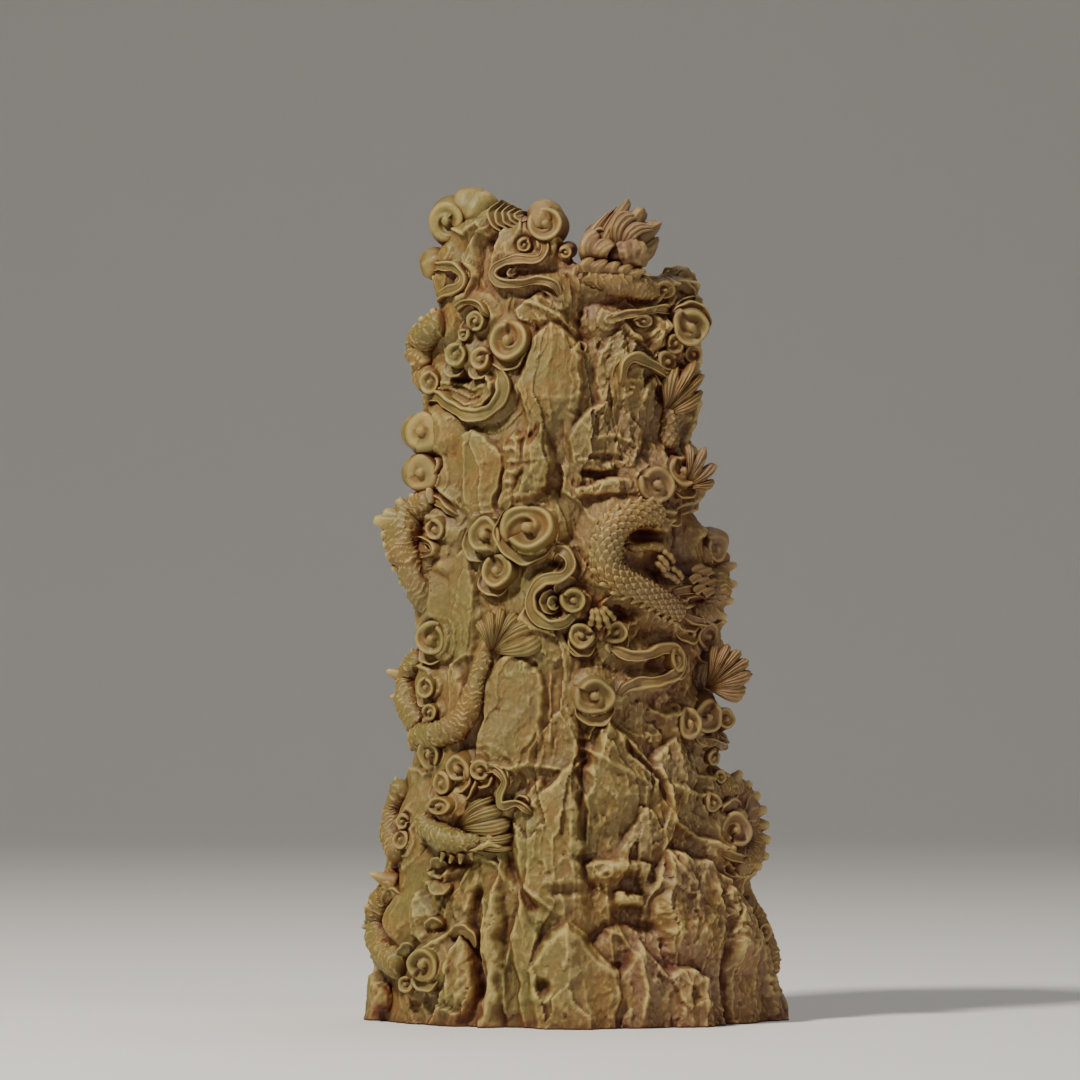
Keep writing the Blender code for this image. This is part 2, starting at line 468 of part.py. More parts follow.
def rock_mesh():
    """The rock: a sphere whose rings become the underside, the carved wall and the ragged top."""
    bm = bmesh.new()
    bmesh.ops.create_uvsphere(bm, u_segments=STRIPS_AROUND, v_segments=RINGS, radius=1.0)
    ball = np.array([vertex.co for vertex in bm.verts])
    up = 1 - np.arccos(np.clip(ball[:, 2], -1, 1)) / math.pi
    angle = np.arctan2(ball[:, 0], -ball[:, 1])
    floor = -BASE_SINK / PART
    edge = wall(angle, np.full(len(angle), SKYLINE[:, 1].mean()), 0.0)
    share = np.clip((up - UNDERSIDE_SHARE) / (1 - CROWN_SHARE - UNDERSIDE_SHARE), 0, 1)
    z = floor + (skyline(edge[:, 0], edge[:, 1]) - floor) * share
    rock = wall(angle, z, relief(angle, z))
    inward = np.minimum(np.clip((1 - up) / CROWN_SHARE, 0, 1), np.clip(up / UNDERSIDE_SHARE, 0, 1))
    middle = column(z)[0]
    rock[:, 0] = middle + (rock[:, 0] - middle) * inward
    rock[:, 1] *= inward
    crown = up > 1 - CROWN_SHARE
    rough = CROWN_ROUGH * np.sin(math.pi * inward) * smooth_noise(rock, CROWN_CELL, 4)
    rock[crown, 2] = (skyline(rock[:, 0], rock[:, 1]) + rough)[crown]
    for vertex, point in zip(bm.verts, rock):
        vertex.co = point
    return as_mesh(bm, "rock")


def as_mesh(bm, name):
    mesh = bpy.data.meshes.new(name)
    bm.to_mesh(mesh)
    bm.free()
    return mesh


def facing(place, sideways=0.0):
    """A frame on the rock: X to the right round it, Y up and Z outwards, turned sideways in degrees."""
    angle, z, out = place
    away = Matrix.Rotation(math.radians(sideways), 3, "Z") @ outward(angle, z)
    across = Vector((-away.y, away.x, 0.0))
    frame = Matrix((across, Vector((0, 0, 1)), away)).transposed().to_4x4()
    return Matrix.Translation(on_rock(angle, z, out)) @ frame


def ball_mesh(matrix, segments, rings):
    bm = bmesh.new()
    bmesh.ops.create_uvsphere(bm, u_segments=segments, v_segments=rings, radius=1.0, matrix=matrix)
    return as_mesh(bm, "ball")


def lump_mesh(lump):
    place, across, up, deep = lump
    return ball_mesh(facing(place) @ Matrix.Diagonal((across, up, deep, 1)), *LUMP_NET)


def scroll_meshes(scroll):
    """A rolled cloud head: a thick disc, its raised rim and the knob that the roll ends in."""
    place, radius, sideways = scroll
    frame = facing(place, sideways)
    disc = bmesh.new()
    bmesh.ops.create_cone(disc, cap_ends=True, segments=DISC_FACES, radius1=radius * DISC_FOOT,
                          radius2=radius, depth=SCROLL_THICK,
                          matrix=frame @ Matrix.Translation((0, 0, -SCROLL_THICK / 2)))
    bpy.ops.mesh.primitive_torus_add(major_radius=radius - RIM * RIM_INSET, minor_radius=RIM,
                                     major_segments=DISC_FACES, minor_segments=RIM_FACES)
    ring = bpy.context.object
    rim = ring.data
    rim.transform(frame)
    bpy.data.objects.remove(ring)
    knob = ball_mesh(frame @ Matrix.Scale(max(KNOB_LEAST, radius * KNOB_SHARE), 4), *KNOB_NET)
    return [as_mesh(disc, "disc"), rim, knob]


def swept_mesh(points, radii):
    """A round body along a smooth line through the points, with a radius at each."""
    curve = bpy.data.curves.new("body", "CURVE")
    curve.dimensions = "3D"
    curve.bevel_depth = 1.0
    curve.bevel_resolution = BEVEL_STEPS
    curve.resolution_u = ROUTE_STEPS
    curve.use_fill_caps = True
    spline = curve.splines.new("BEZIER")
    spline.bezier_points.add(len(points) - 1)
    for bezier, point, radius in zip(spline.bezier_points, points, radii):
        bezier.co = point
        bezier.radius = radius
        bezier.handle_left_type = bezier.handle_right_type = "AUTO"
    body = bpy.data.objects.new("body", curve)
    bpy.context.scene.collection.objects.link(body)
    bpy.context.view_layer.update()
    mesh = bpy.data.meshes.new_from_object(body.evaluated_get(bpy.context.evaluated_depsgraph_get()))
    bpy.data.objects.remove(body)
    bm = bmesh.new()
    bm.from_mesh(mesh)
    bmesh.ops.remove_doubles(bm, verts=bm.verts, dist=POINT_GAP)
    bm.to_mesh(mesh)
    bm.free()
    return mesh


def ribbon_meshes(ribbon):
    """A ribbon is a round edge over sunk copies of itself, which carry it down into the rock."""
    route, width = ribbon
    levels = [RIBBON_OUT - width * sink for sink in RIBBON_SINKS]
    return [swept_mesh([on_rock(angle, z, level + out) for angle, z, out in route], [width / 2] * len(route))
            for level in levels]


def body_radii(dragon):
    route, start, middle, end = dragon
    last = len(route) - 1
    return [float(np.interp(i, (0, last / 2, last), (start, middle, end))) for i in range(last + 1)]


def dragon_meshes(dragon):
    """A body, and the web of rock that joins it to the column below."""
    radii = body_radii(dragon)
    body = swept_mesh([on_rock(*place) for place in dragon[0]], radii)
    sunk = [on_rock(angle, z, out - radius * WEB_SINK) for (angle, z, out), radius in zip(dragon[0], radii)]
    return [body, swept_mesh(sunk, [radius * WEB_RADIUS for radius in radii])]


def lock_meshes(fan):
    """The locks of one fan: each leaves a root sunk in the rock and tapers to its tip."""
    place, sideways, locks = fan
    frame = facing(place, sideways)
    root = frame @ Vector((0, 0, -place[2] - LOCK_SINK))
    bow = Vector((0, 0, LOCK_BOW))
    meshes = []
    for direction, length, radius in locks:
        way = Vector((math.cos(math.radians(direction)), math.sin(math.radians(direction)), 0))
        blade = [frame @ (way * length * share + bow * math.sin(math.pi * share)) for share in LOCK_SHARES]
        meshes.append(swept_mesh([root] + blade, [radius * part for part in LOCK_RADII]))
    return meshes


def fin_mesh(fin):
    """A short spike whose foot is buried in the middle of the body that it grows from."""
    dragon, at, direction, length = fin
    low = int(at)
    root = on_rock(*dragon[0][low]).lerp(on_rock(*dragon[0][low + 1]), at - low)
    way = Vector((math.cos(math.radians(direction)), 0, math.sin(math.radians(direction))))
    turn = way.to_track_quat("Z", "Y").to_matrix().to_4x4()
    bm = bmesh.new()
    bmesh.ops.create_cone(bm, cap_ends=True, segments=FIN_FACES, radius1=FIN_BASE, radius2=FIN_TIP,
                          depth=length, matrix=Matrix.Translation(root + way * (length / 2)) @ turn)
    return as_mesh(bm, "fin")


def boxwood():
    material = bpy.data.materials.new("boxwood")
    material.use_nodes = True
    shader = material.node_tree.nodes["Principled BSDF"]
    shader.inputs["Base Color"].default_value = (0.46, 0.29, 0.13, 1)
    shader.inputs["Roughness"].default_value = 0.45
    return material


def flat_cutter(collection):
    """A block below the underside that cuts the rough foot off flat."""
    bpy.ops.mesh.primitive_cube_add(size=1.0)
    cutter = bpy.context.object
    cutter.name = "underside_cutter"
    cutter.data.transform(Matrix.Diagonal((2 * HEIGHT, 2 * HEIGHT, 4 * BASE_SINK, 1)))
    cutter.location.z = -2 * BASE_SINK
    cutter.hide_render = True
    cutter.display_type = "WIRE"
    for other in cutter.users_collection:
        other.objects.unlink(cutter)
    collection.objects.link(cutter)
    return cutter


def grown_mesh(block):
    """One closed surface round everything in the block."""
    grow = block.modifiers.new("grow_together", "REMESH")
    grow.mode = "VOXEL"
    grow.voxel_size = MERGE_CELL
    bpy.context.view_layer.update()
    mesh = bpy.data.meshes.new_from_object(block.evaluated_get(bpy.context.evaluated_depsgraph_get()))
    block.modifiers.remove(grow)
    drop_bubbles(mesh)
    return mesh


def drop_bubbles(mesh):
    """Keep the outer surface alone, without the sealed bubbles that shapes leave between them."""
    bm = bmesh.new()
    bm.from_mesh(mesh)
    top = max(bm.verts, key=lambda vertex: vertex.co.z)
    reached = {top}
    front = [top]
    while front:
        vertex = front.pop()
        for edge in vertex.link_edges:
            other = edge.other_vert(vertex)
            if other not in reached:
                reached.add(other)
                front.append(other)
    bmesh.ops.delete(bm, geom=[vertex for vertex in bm.verts if vertex not in reached], context="VERTS")
    bm.to_mesh(mesh)
    bm.free()


def carving(collection, cutter):
    """Every shape grown into one solid, thinned to the facets that matter, and cut flat below."""
    meshes = [rock_mesh()] + [lump_mesh(lump) for lump in LUMPS] + [fin_mesh(fin) for fin in FINS]
    for make, things in ((scroll_meshes, SCROLLS), (ribbon_meshes, RIBBONS), (dragon_meshes, DRAGONS),
                         (lock_meshes, FANS)):
        for thing in things:
            meshes += make(thing)
    whole = bmesh.new()
    for mesh in meshes:
        whole.from_mesh(mesh)
        bpy.data.meshes.remove(mesh)
    whole.transform(Matrix.Scale(PART, 4))
    block = bpy.data.objects.new("carving", as_mesh(whole, "carving"))
    collection.objects.link(block)
    block.data.materials.append(boxwood())
    rough = block.data
    block.data = grown_mesh(block)
    bpy.data.meshes.remove(rough)
    free = block.vertex_groups.new(name="free_to_thin")
    for vertex in block.data.vertices:
        behind = float(np.interp(vertex.co.y / PART, FADE_BEHIND, (0, 1)))
        free.add([vertex.index], CARVED_FACE_FREEDOM + (1 - CARVED_FACE_FREEDOM) * behind, "REPLACE")
    thin = block.modifiers.new("thin_out", "DECIMATE")
    block.data.calc_loop_triangles()
    thin.ratio = FACETS / len(block.data.loop_triangles)
    thin.vertex_group = free.name
    thin.vertex_group_factor = THIN_BEHIND
    cut = block.modifiers.new("cut_flat", "BOOLEAN")
    cut.operation = "DIFFERENCE"
    cut.object = cutter
    return block


def main():
    for thing in list(bpy.data.objects):
        bpy.data.objects.remove(thing)
    pieces = bpy.data.collections.new("boxwood_dragon_rock")
    cutters = bpy.data.collections.new("cutters")
    for group in (pieces, cutters):
        bpy.context.scene.collection.children.link(group)
    carving(pieces, flat_cutter(cutters))


main()
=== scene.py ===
# %% [markdown]
# # A boxwood rock carved with dragons and clouds
#
# The real object is one block of boxwood, about 21 cm tall. A carver has cut it into a rock pinnacle, and
# dragons coil in and out of scrolled clouds all round it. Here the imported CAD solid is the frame: it gives
# the place and the size, and stays for collision. What is looked at is built over it in finer mesh.

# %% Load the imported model
import math

import bpy
import numpy as np
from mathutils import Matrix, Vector


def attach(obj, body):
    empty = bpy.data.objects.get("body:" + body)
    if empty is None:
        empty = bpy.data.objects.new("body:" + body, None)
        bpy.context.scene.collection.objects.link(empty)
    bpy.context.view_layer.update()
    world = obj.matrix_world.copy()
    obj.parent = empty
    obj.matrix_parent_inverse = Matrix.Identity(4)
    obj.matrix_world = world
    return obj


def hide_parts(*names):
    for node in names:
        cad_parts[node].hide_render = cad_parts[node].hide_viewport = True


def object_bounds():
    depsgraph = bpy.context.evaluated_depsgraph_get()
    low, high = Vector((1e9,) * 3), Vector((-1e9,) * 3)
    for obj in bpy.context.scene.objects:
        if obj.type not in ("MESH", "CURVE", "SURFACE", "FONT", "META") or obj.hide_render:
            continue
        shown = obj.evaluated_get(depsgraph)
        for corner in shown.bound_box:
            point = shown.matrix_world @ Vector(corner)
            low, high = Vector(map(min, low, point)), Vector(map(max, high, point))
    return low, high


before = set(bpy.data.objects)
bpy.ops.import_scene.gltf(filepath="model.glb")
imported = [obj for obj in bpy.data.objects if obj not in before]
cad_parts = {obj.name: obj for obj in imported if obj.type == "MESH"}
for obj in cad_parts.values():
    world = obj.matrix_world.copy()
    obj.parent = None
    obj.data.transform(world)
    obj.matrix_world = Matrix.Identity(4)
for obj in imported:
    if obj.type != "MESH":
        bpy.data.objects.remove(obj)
cad_low, cad_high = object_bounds()
CAD_PARTS = 210.9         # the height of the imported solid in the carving's own measure
PART = (cad_high.z - cad_low.z) / CAD_PARTS
print("CAD box in mm:", [round(1000 * v, 1) for v in (*cad_low, *cad_high)])
print("one part in mm:", round(1000 * PART, 4))

# %% [markdown]
# ## Floor, light and camera
#
# A carving shows its relief through soft shadows, so one large soft lamp stands high at the left and a weak
# one fills in from the right. The floor curves up into a backdrop, which leaves no line behind the carving.
# The camera stands far away with a long lens, level with the middle of the rock, as the photographer's did.

# %% Floor and backdrop
FLOOR_FRONT = -3.0        # metres, and so are the next four
FLOOR_BACK = 1.2
BEND = 0.9                # radius of the bend between floor and wall
WALL_TOP = 4.0
HALF_WIDTH = 4.0


def backdrop():
    """A pale floor that bends up behind the carving."""
    profile = [(FLOOR_FRONT, 0.0), (FLOOR_BACK, 0.0)]
    for angle in np.radians(range(6, 91, 6)):
        profile.append((FLOOR_BACK + BEND * math.sin(angle), BEND * (1 - math.cos(angle))))
    profile.append((FLOOR_BACK + BEND, WALL_TOP))
    points = [(x, y, z) for y, z in profile for x in (-HALF_WIDTH, HALF_WIDTH)]
    faces = [(2 * i, 2 * i + 1, 2 * i + 3, 2 * i + 2) for i in range(len(profile) - 1)]
    mesh = bpy.data.meshes.new("floor")
    mesh.from_pydata(points, [], faces)
    mesh.polygons.foreach_set("use_smooth", [True] * len(faces))
    floor = bpy.data.objects.new("floor", mesh)
    bpy.context.scene.collection.objects.link(floor)
    paper = bpy.data.materials.new("pale paper")
    paper.use_nodes = True
    shader = paper.node_tree.nodes["Principled BSDF"]
    shader.inputs["Base Color"].default_value = (0.80, 0.78, 0.75, 1)
    shader.inputs["Roughness"].default_value = 0.8
    mesh.materials.append(paper)
    print("floor:", len(points), "points, bent up over", BEND, "m")


backdrop()

# %% Lamps and room light
LIT_PLACE = (0, 0, 0.11)  # the middle of the carving


def lamp(name, place, size, watts, warmth):
    """A square soft lamp that looks at the middle of the carving."""
    light = bpy.data.lights.new(name, "AREA")
    light.size = size
    light.energy = watts
    light.color = warmth
    holder = bpy.data.objects.new(name, light)
    holder.location = place
    holder.rotation_euler = (Vector(LIT_PLACE) - Vector(place)).to_track_quat("-Z", "Y").to_euler()
    bpy.context.scene.collection.objects.link(holder)
    print(f"{name}: {watts} watts, {size} m across")


lamp("key lamp", (-0.54, -0.50, 1.00), 0.14, 16.8, (1.0, 0.95, 0.86))
lamp("fill lamp", (0.9, -1.0, 0.55), 0.6, 3.6, (0.96, 0.97, 1.0))
lamp("top lamp", (0.15, 0.25, 1.0), 0.5, 2.6, (1.0, 0.98, 0.95))
room = bpy.data.worlds.new("room")
room.use_nodes = True
room.node_tree.nodes["Background"].inputs["Color"].default_value = (0.80, 0.82, 0.85, 1)
room.node_tree.nodes["Background"].inputs["Strength"].default_value = 0.06
bpy.context.scene.world = room

# %% Camera
EYE_PLACE = (-0.0095, -2.02, 0.121)
lens = bpy.data.cameras.new("camera")
lens.lens = 266.7         # millimetres, on a sensor of 36
lens.sensor_width = 36.0
lens.clip_end = 20.0
eye = bpy.data.objects.new("camera", lens)
eye.location = EYE_PLACE
eye.rotation_euler = (math.pi / 2, 0, 0)
bpy.context.scene.collection.objects.link(eye)
bpy.context.scene.camera = eye
print("camera", -EYE_PLACE[1], "m in front of the carving, looking level")

# %% [markdown]
# ## The finish of the boxwood
#
# Boxwood is yellow with a very fine grain. Handled and waxed, its edges stay pale. One recipe makes every
# finish here: slow clouds of olive, honey and pink, fine upright grain, specks of pores, then a painted
# red-brown shade where little light gets in, and pale edges that are rubbing and a painted highlight
# together.
# The pale edges and the painted shade in creases come from a value that each shape stores on its points,
# because only the shape knows its edges.

# %% Node helpers
def node(tree, kind, sockets=(), **settings):
    """Add a node, set its options and its sockets. A socket takes a value or another node's output."""
    made = tree.nodes.new(kind)
    for key, value in settings.items():
        setattr(made, key, value)
    for key, value in dict(sockets).items():
        if isinstance(value, bpy.types.NodeSocket):
            tree.links.new(value, made.inputs[key])
        else:
            made.inputs[key].default_value = value
    return made


def blended(tree, share, first, second, how="MIX"):
    """Mix two colours by a share."""
    mix = node(tree, "ShaderNodeMix", data_type="RGBA", blend_type=how, clamp_factor=True)
    for index, value in ((0, share), (6, first), (7, second)):
        if isinstance(value, bpy.types.NodeSocket):
            tree.links.new(value, mix.inputs[index])
        else:
            mix.inputs[index].default_value = value
    return mix.outputs[2]


def stretched(tree, value, low, high, to_low=0.0, to_high=1.0):
    """Spread the part of a value between low and high over a new range."""
    spread = node(tree, "ShaderNodeMapRange", {0: value, 1: low, 2: high, 3: to_low, 4: to_high})
    return spread.outputs[0]


def speckle(tree, place, size, detail, roughness=0.5):
    """Noise whose patches are about so many metres across."""
    noise = node(tree, "ShaderNodeTexNoise", {"Vector": place, "Scale": 1 / size, "Detail": detail,
                                              "Roughness": roughness})
    return noise.outputs["Fac"]


def worked(tree, how, first, second, clamped=True):
    """Add, subtract or multiply two values, and by custom keep the result from 0 to 1."""
    return node(tree, "ShaderNodeMath", {0: first, 1: second}, operation=how, use_clamp=clamped).outputs[0]


print("node helpers:", [helper.__name__ for helper in (node, blended, stretched, speckle, worked)])

# %% Colours of the wood
OLIVE = (0.196, 0.166, 0.036, 1)
HONEY = (0.252, 0.142, 0.029, 1)
PINKISH = (0.240, 0.132, 0.062, 1)
GRAINED = (0.155, 0.080, 0.026, 1)
PALE = (0.74, 0.60, 0.220, 1)        # edges: pale from rubbing, and a painted highlight
SHADED = (0.46, 0.13, 0.048, 1)      # what multiplies the wood where less light gets in
CLOUDING = 0.040                     # metres from one slow cloud of colour to the next


def wood_colour(tree, place, patches, grain):
    """Slow clouds from olive to pink, patches of honey, and fine upright grain."""
    axis = node(tree, "ShaderNodeSeparateXYZ", {0: place})
    clouds = speckle(tree, place, CLOUDING, 2.0)
    sideways = stretched(tree, axis.outputs["X"], -0.03, 0.042)
    slide = worked(tree, "ADD", sideways, stretched(tree, clouds, 0.3, 0.7, -0.5, 0.5))
    colour = blended(tree, slide, OLIVE, PINKISH)
    colour = blended(tree, stretched(tree, patches, 0.42, 0.66), colour, HONEY)
    return blended(tree, stretched(tree, grain, 0.35, 0.7, 0.0, 0.32), colour, GRAINED)


def worn_and_shaded(tree, colour, patches, wear_and_highlight):
    """Pale where the shape's own value is above nought, as rubbing and a painted highlight on the edges, and
    a painted red-brown shade where it is below nought.
    """
    wear_and_shade = node(tree, "ShaderNodeAttribute", attribute_name="wear_and_shade").outputs["Fac"]
    # pale edges: rubbing and a painted highlight together
    edge = worked(tree, "MULTIPLY", wear_and_shade, stretched(tree, patches, 0.3, 0.6, 0.55, 1.0))
    colour = blended(tree, stretched(tree, edge, 0.05, 0.9, 0.0, wear_and_highlight), colour, PALE)
    # painted shade: a value below nought multiplies creases by SHADED
    return blended(tree, stretched(tree, wear_and_shade, -0.15, -1.0, 0.0, 0.6), colour,
                   blended(tree, 1.0, colour, SHADED, "MULTIPLY"))


print("the wood goes from", OLIVE[:3], "to", PINKISH[:3])

# %% Pores and tool marks
GATHERING, PORE = 0.006, 0.00115     # metres from one gathering of pores to the next, and from pore to pore
TOOTH, DENT = 0.0010, 0.0022         # metres across the fine tooth of the skin, and across a chisel dent
RELIEF_DEPTH = 0.00030               # metres of bump at full strength


def pore_depth(tree, place, grit):
    """How deep a pore lies at each point, from 0 to 1: a few cells of a scatter, in gatherings."""
    holes = node(tree, "ShaderNodeTexVoronoi", {"Vector": place, "Scale": 1 / PORE, "Randomness": 1.0})
    chosen = node(tree, "ShaderNodeSeparateXYZ", {0: holes.outputs["Color"]})
    gathered = speckle(tree, place, GATHERING, 2.0)
    some = worked(tree, "ADD", chosen.outputs["X"], stretched(tree, gathered, 0.45, 0.7, -0.5, 0.25), False)
    reach = stretched(tree, chosen.outputs["Y"], 0.0, 1.0, 0.14, 0.34)
    within = worked(tree, "SUBTRACT", reach, holes.outputs["Distance"], False)
    return worked(tree, "MULTIPLY", stretched(tree, within, 0.0, 0.12),
                  stretched(tree, some, 0.70, 0.95, 0.0, 0.75 * grit))


def tool_marks(tree, place, grain, pores, grit):
    """The bump of the skin: fine tooth, grain, slanting chisel dents and the pores."""
    tooth = worked(tree, "ADD", speckle(tree, place, TOOTH, 5.0, 0.65),
                   stretched(tree, grain, 0.0, 1.0, 0.0, 0.35), False)
    slant = node(tree, "ShaderNodeMapping", {"Vector": place, "Rotation": (0.3, 0.2, 0.4),
                                             "Scale": (1.0, 1.0, 0.55)})
    chopped = speckle(tree, slant.outputs[0], DENT, 3.0, 0.5)
    dents = stretched(tree, chopped, 0.40, 0.62, 0.0, 0.2 + 0.6 * grit)
    pitted = worked(tree, "SUBTRACT", worked(tree, "ADD", tooth, dents, False), pores, False)
    bump = node(tree, "ShaderNodeBump", {"Height": pitted, "Distance": RELIEF_DEPTH,
                                         "Strength": 0.42 + 0.45 * grit})
    return bump.outputs[0]


print("pores about", 1000 * PORE, "mm apart, chisel dents about", 1000 * DENT, "mm long")

# %% Boxwood recipe
PAINTED_DEEP_SHADE = (0.085, 0.026, 0.010, 1)    # painted shade in the narrowest recesses
PIT = (0.060, 0.022, 0.010, 1)       # pores
PATCH, GRAIN = 0.011, 0.0011         # metres across a patch of honey, and across a line of the grain
NARROW, OPEN = 0.0022, 0.009         # metres over which a recess counts as narrow, and as open, for the painted shade


def boxwood(name, polish, grit, wear_and_highlight):
    """One finish of the wood. Polish lowers its roughness, grit deepens its pores, and the last value pales
    its edges, as rubbing and a painted highlight.
    """
    material = bpy.data.materials.new(name)
    material.use_nodes = True
    tree = material.node_tree
    shader = tree.nodes["Principled BSDF"]
    place = node(tree, "ShaderNodeTexCoord").outputs["Object"]
    patches = speckle(tree, place, PATCH, 4.0, 0.6)
    upright = node(tree, "ShaderNodeMapping", {"Vector": place, "Scale": (1.0, 1.0, 0.09)})
    grain = speckle(tree, upright.outputs[0], GRAIN, 3.0, 0.6)
    colour = worn_and_shaded(tree, wood_colour(tree, place, patches, grain), patches, wear_and_highlight)
    pores = pore_depth(tree, place, grit)
    colour = blended(tree, pores, colour, PIT)
    # Painted shade from ambient occlusion: the open reach reddens the wood by SHADED, the narrow one darkens
    # it to near black
    near, far = (node(tree, "ShaderNodeAmbientOcclusion", {"Distance": reach}, samples=8).outputs["AO"]
                 for reach in (NARROW, OPEN))
    colour = blended(tree, stretched(tree, far, 0.84, 0.28, 0.0, 1.0), colour,
                     blended(tree, 1.0, colour, SHADED, "MULTIPLY"))
    colour = blended(tree, stretched(tree, near, 0.66, 0.15, 0.0, 0.9), colour, PAINTED_DEEP_SHADE)
    gloss = worked(tree, "ADD", stretched(tree, patches, 0.3, 0.7, 0.54 - polish, 0.70 - polish),
                   stretched(tree, near, 0.2, 0.8, 0.18, 0.0))
    tree.links.new(colour, shader.inputs["Base Color"])
    tree.links.new(gloss, shader.inputs["Roughness"])
    tree.links.new(tool_marks(tree, place, grain, pores, grit), shader.inputs["Normal"])
    shader.inputs["Specular IOR Level"].default_value = 0.45
    shader.inputs["Coat Weight"].default_value = 0.07
    shader.inputs["Coat Roughness"].default_value = 0.32
    return material


ROCK_FINISH = boxwood("boxwood rock", 0.02, 1.0, 0.52)
CLOUD_FINISH = boxwood("boxwood clouds", 0.05, 0.45, 0.38)
DRAGON_FINISH = boxwood("boxwood dragons", 0.06, 0.5, 0.55)
print("finishes:", [m.name for m in (ROCK_FINISH, CLOUD_FINISH, DRAGON_FINISH)])

# %% [markdown]
# ## From arrays to pieces
#
# The relief has hundreds of thousands of points, far too many to set one at a time. Every shape is therefore
# a triple of numpy arrays: its points in parts, its triangles, and a value for each point that is above
# nought on pale edges, rubbing and a painted highlight, and below nought in painted shade. Shapes that belong
# together are stacked into one piece, which rides on the body and stands in for the CAD solid.

# %% Stack shapes and make pieces
def stacked(shapes):
    """Several shapes as one."""
    starts = np.cumsum([0] + [len(points) for points, _, _ in shapes])
    return (np.vstack([points for points, _, _ in shapes]),
            np.vstack([triangles + start for (_, triangles, _), start in zip(shapes, starts)]),
            np.concatenate([wear_and_shade for _, _, wear_and_shade in shapes]))


def piece(name, shapes, finish, normals=None):
    """Turn shapes into one object that rides on the body in place of the CAD solid."""
    points, triangles, wear_and_shade = stacked(shapes)
    mesh = bpy.data.meshes.new(name)
    mesh.vertices.add(len(points))
    mesh.vertices.foreach_set("co", (points * PART).astype(np.float32).ravel())
    mesh.loops.add(3 * len(triangles))
    mesh.loops.foreach_set("vertex_index", triangles.astype(np.int32).ravel())
    mesh.polygons.add(len(triangles))
    mesh.polygons.foreach_set("loop_start", np.arange(0, 3 * len(triangles), 3, dtype=np.int32))
    mesh.update(calc_edges=True)
    mesh.polygons.foreach_set("use_smooth", np.ones(len(triangles), dtype=bool))
    # the stored value: above nought pale edges, rubbing and a painted highlight; below nought painted shade
    mesh.attributes.new("wear_and_shade", "FLOAT", "POINT").data.foreach_set("value", wear_and_shade.astype(np.float32))
    if normals is not None:
        mesh.normals_split_custom_set_from_vertices(normals)
    mesh.materials.append(finish)
    made = bpy.data.objects.new(name, mesh)
    bpy.context.scene.collection.objects.link(made)
    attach(made, "root")
    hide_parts("carving")
    print(f"{name}: {len(triangles)} triangles, {len(shapes)} shapes")
    return made


# %% Nets of points
def grid_triangles(rows, columns, closed=False):
    """The triangles of a net of points, given row by row. A closed net joins its last column to its first."""
    width = columns if closed else columns - 1
    row, place = (each.ravel() for each in np.meshgrid(np.arange(rows - 1), np.arange(width), indexing="ij"))
    beside = (place + 1) % columns
    a, b = row * columns + place, row * columns + beside
    c, d = a + columns, b + columns
    return np.vstack((np.stack((a, b, d), 1), np.stack((a, d, c), 1)))


def sewn(index, *carried, closed=False):
    """The triangles of a net in which places share points, and what the points that are used carry.

    index says which point each place of the net uses, and carried are values for every place.
    """
    triangles = index.ravel()[grid_triangles(*index.shape, closed)]
    sound = (triangles != np.roll(triangles, 1, 1)).all(1)
    used, triangles = np.unique(triangles[sound], return_inverse=True)
    return triangles.reshape(-1, 3), [each.reshape(index.size, *each.shape[2:])[used] for each in carried]


print("a net of 3 by 4 points has", len(grid_triangles(3, 4)), "triangles")

# %% [markdown]
# ## The column and places on it
#
# The rock is roughly an oval column that widens to the foot. A place on it is an angle, a height and how far
# it stands out, in the carving's own parts, 211 to its height. seen(x, z) gives the place that shows at x to
# the right of the middle from the carved face, which is how places were read off the photograph, and
# turned(degrees, z) gives a place on any side. Tables hold bare places, and placed and routed find them.

# %% Column
COLUMN = np.array((
    (-4, -50.5, 50.5, 38.0), (18, -48.0, 45.5, 37.0), (32, -46.5, 40.5, 35.5), (45, -44.5, 38.5, 34.0),
    (70, -40.5, 33.5, 31.5), (95, -37.5, 32.0, 30.0), (118, -36.0, 29.5, 29.0), (135, -35.5, 28.5, 28.5),
    (146, -35.5, 25.5, 28.0), (155, -35.5, 27.0, 27.0), (170, -35.0, 28.5, 25.5), (188, -34.0, 28.0, 22.5),
    (212, -32.0, 27.0, 14.0),
))


def column(z):
    """Middle, half width and half depth of the smooth column at a height."""
    left, right, half_depth = (np.interp(z, COLUMN[:, 0], COLUMN[:, i]) for i in (1, 2, 3))
    return (left + right) / 2, (right - left) / 2, half_depth


def on_rock(angle, z, out=0.0):
    """The point that stands out from the smooth column by so many parts."""
    middle, half_width, half_depth = column(z)
    return np.stack((middle + (half_width + out) * np.sin(angle), -(half_depth + out) * np.cos(angle),
                     z + np.zeros_like(angle)), -1)


def outward(points):
    """The directions that face straight away from the column at these points."""
    middle, half_width, half_depth = column(points[..., 2])
    away = np.stack(((points[..., 0] - middle) / half_width ** 2, points[..., 1] / half_depth ** 2,
                     np.zeros_like(middle)), -1)
    return away / np.linalg.norm(away, axis=-1, keepdims=True)


def seen(x, z, out=0.0):
    """The place that shows at x and z from the carved face."""
    middle, half_width, _ = column(z)
    return math.asin(max(-1.0, min(1.0, (x - middle) / (half_width + out)))), z, out


def turned(degrees, z, out=0.0):
    """The place at an angle from the carved face towards +X."""
    return math.radians(degrees), z, out


def placed(find, rows):
    """Rows of a table, with the place that heads each row found on the rock."""
    return tuple((find(*place), *rest) for place, *rest in rows)


def routed(find, rows):
    """Rows of a table, with every place of the route that heads each row found on the rock."""
    return tuple((tuple(find(*place) for place in route), *rest) for route, *rest in rows)


print("column at mid height:", [round(float(v), 1) for v in column(105.0)])

# %% [markdown]
# ## What is carved where
#
# Before the rock itself comes the list of what stands on it, because the carver cuts the ground back round
# every scroll and coil. These tables say where each scroll, ribbon and dragon lies.

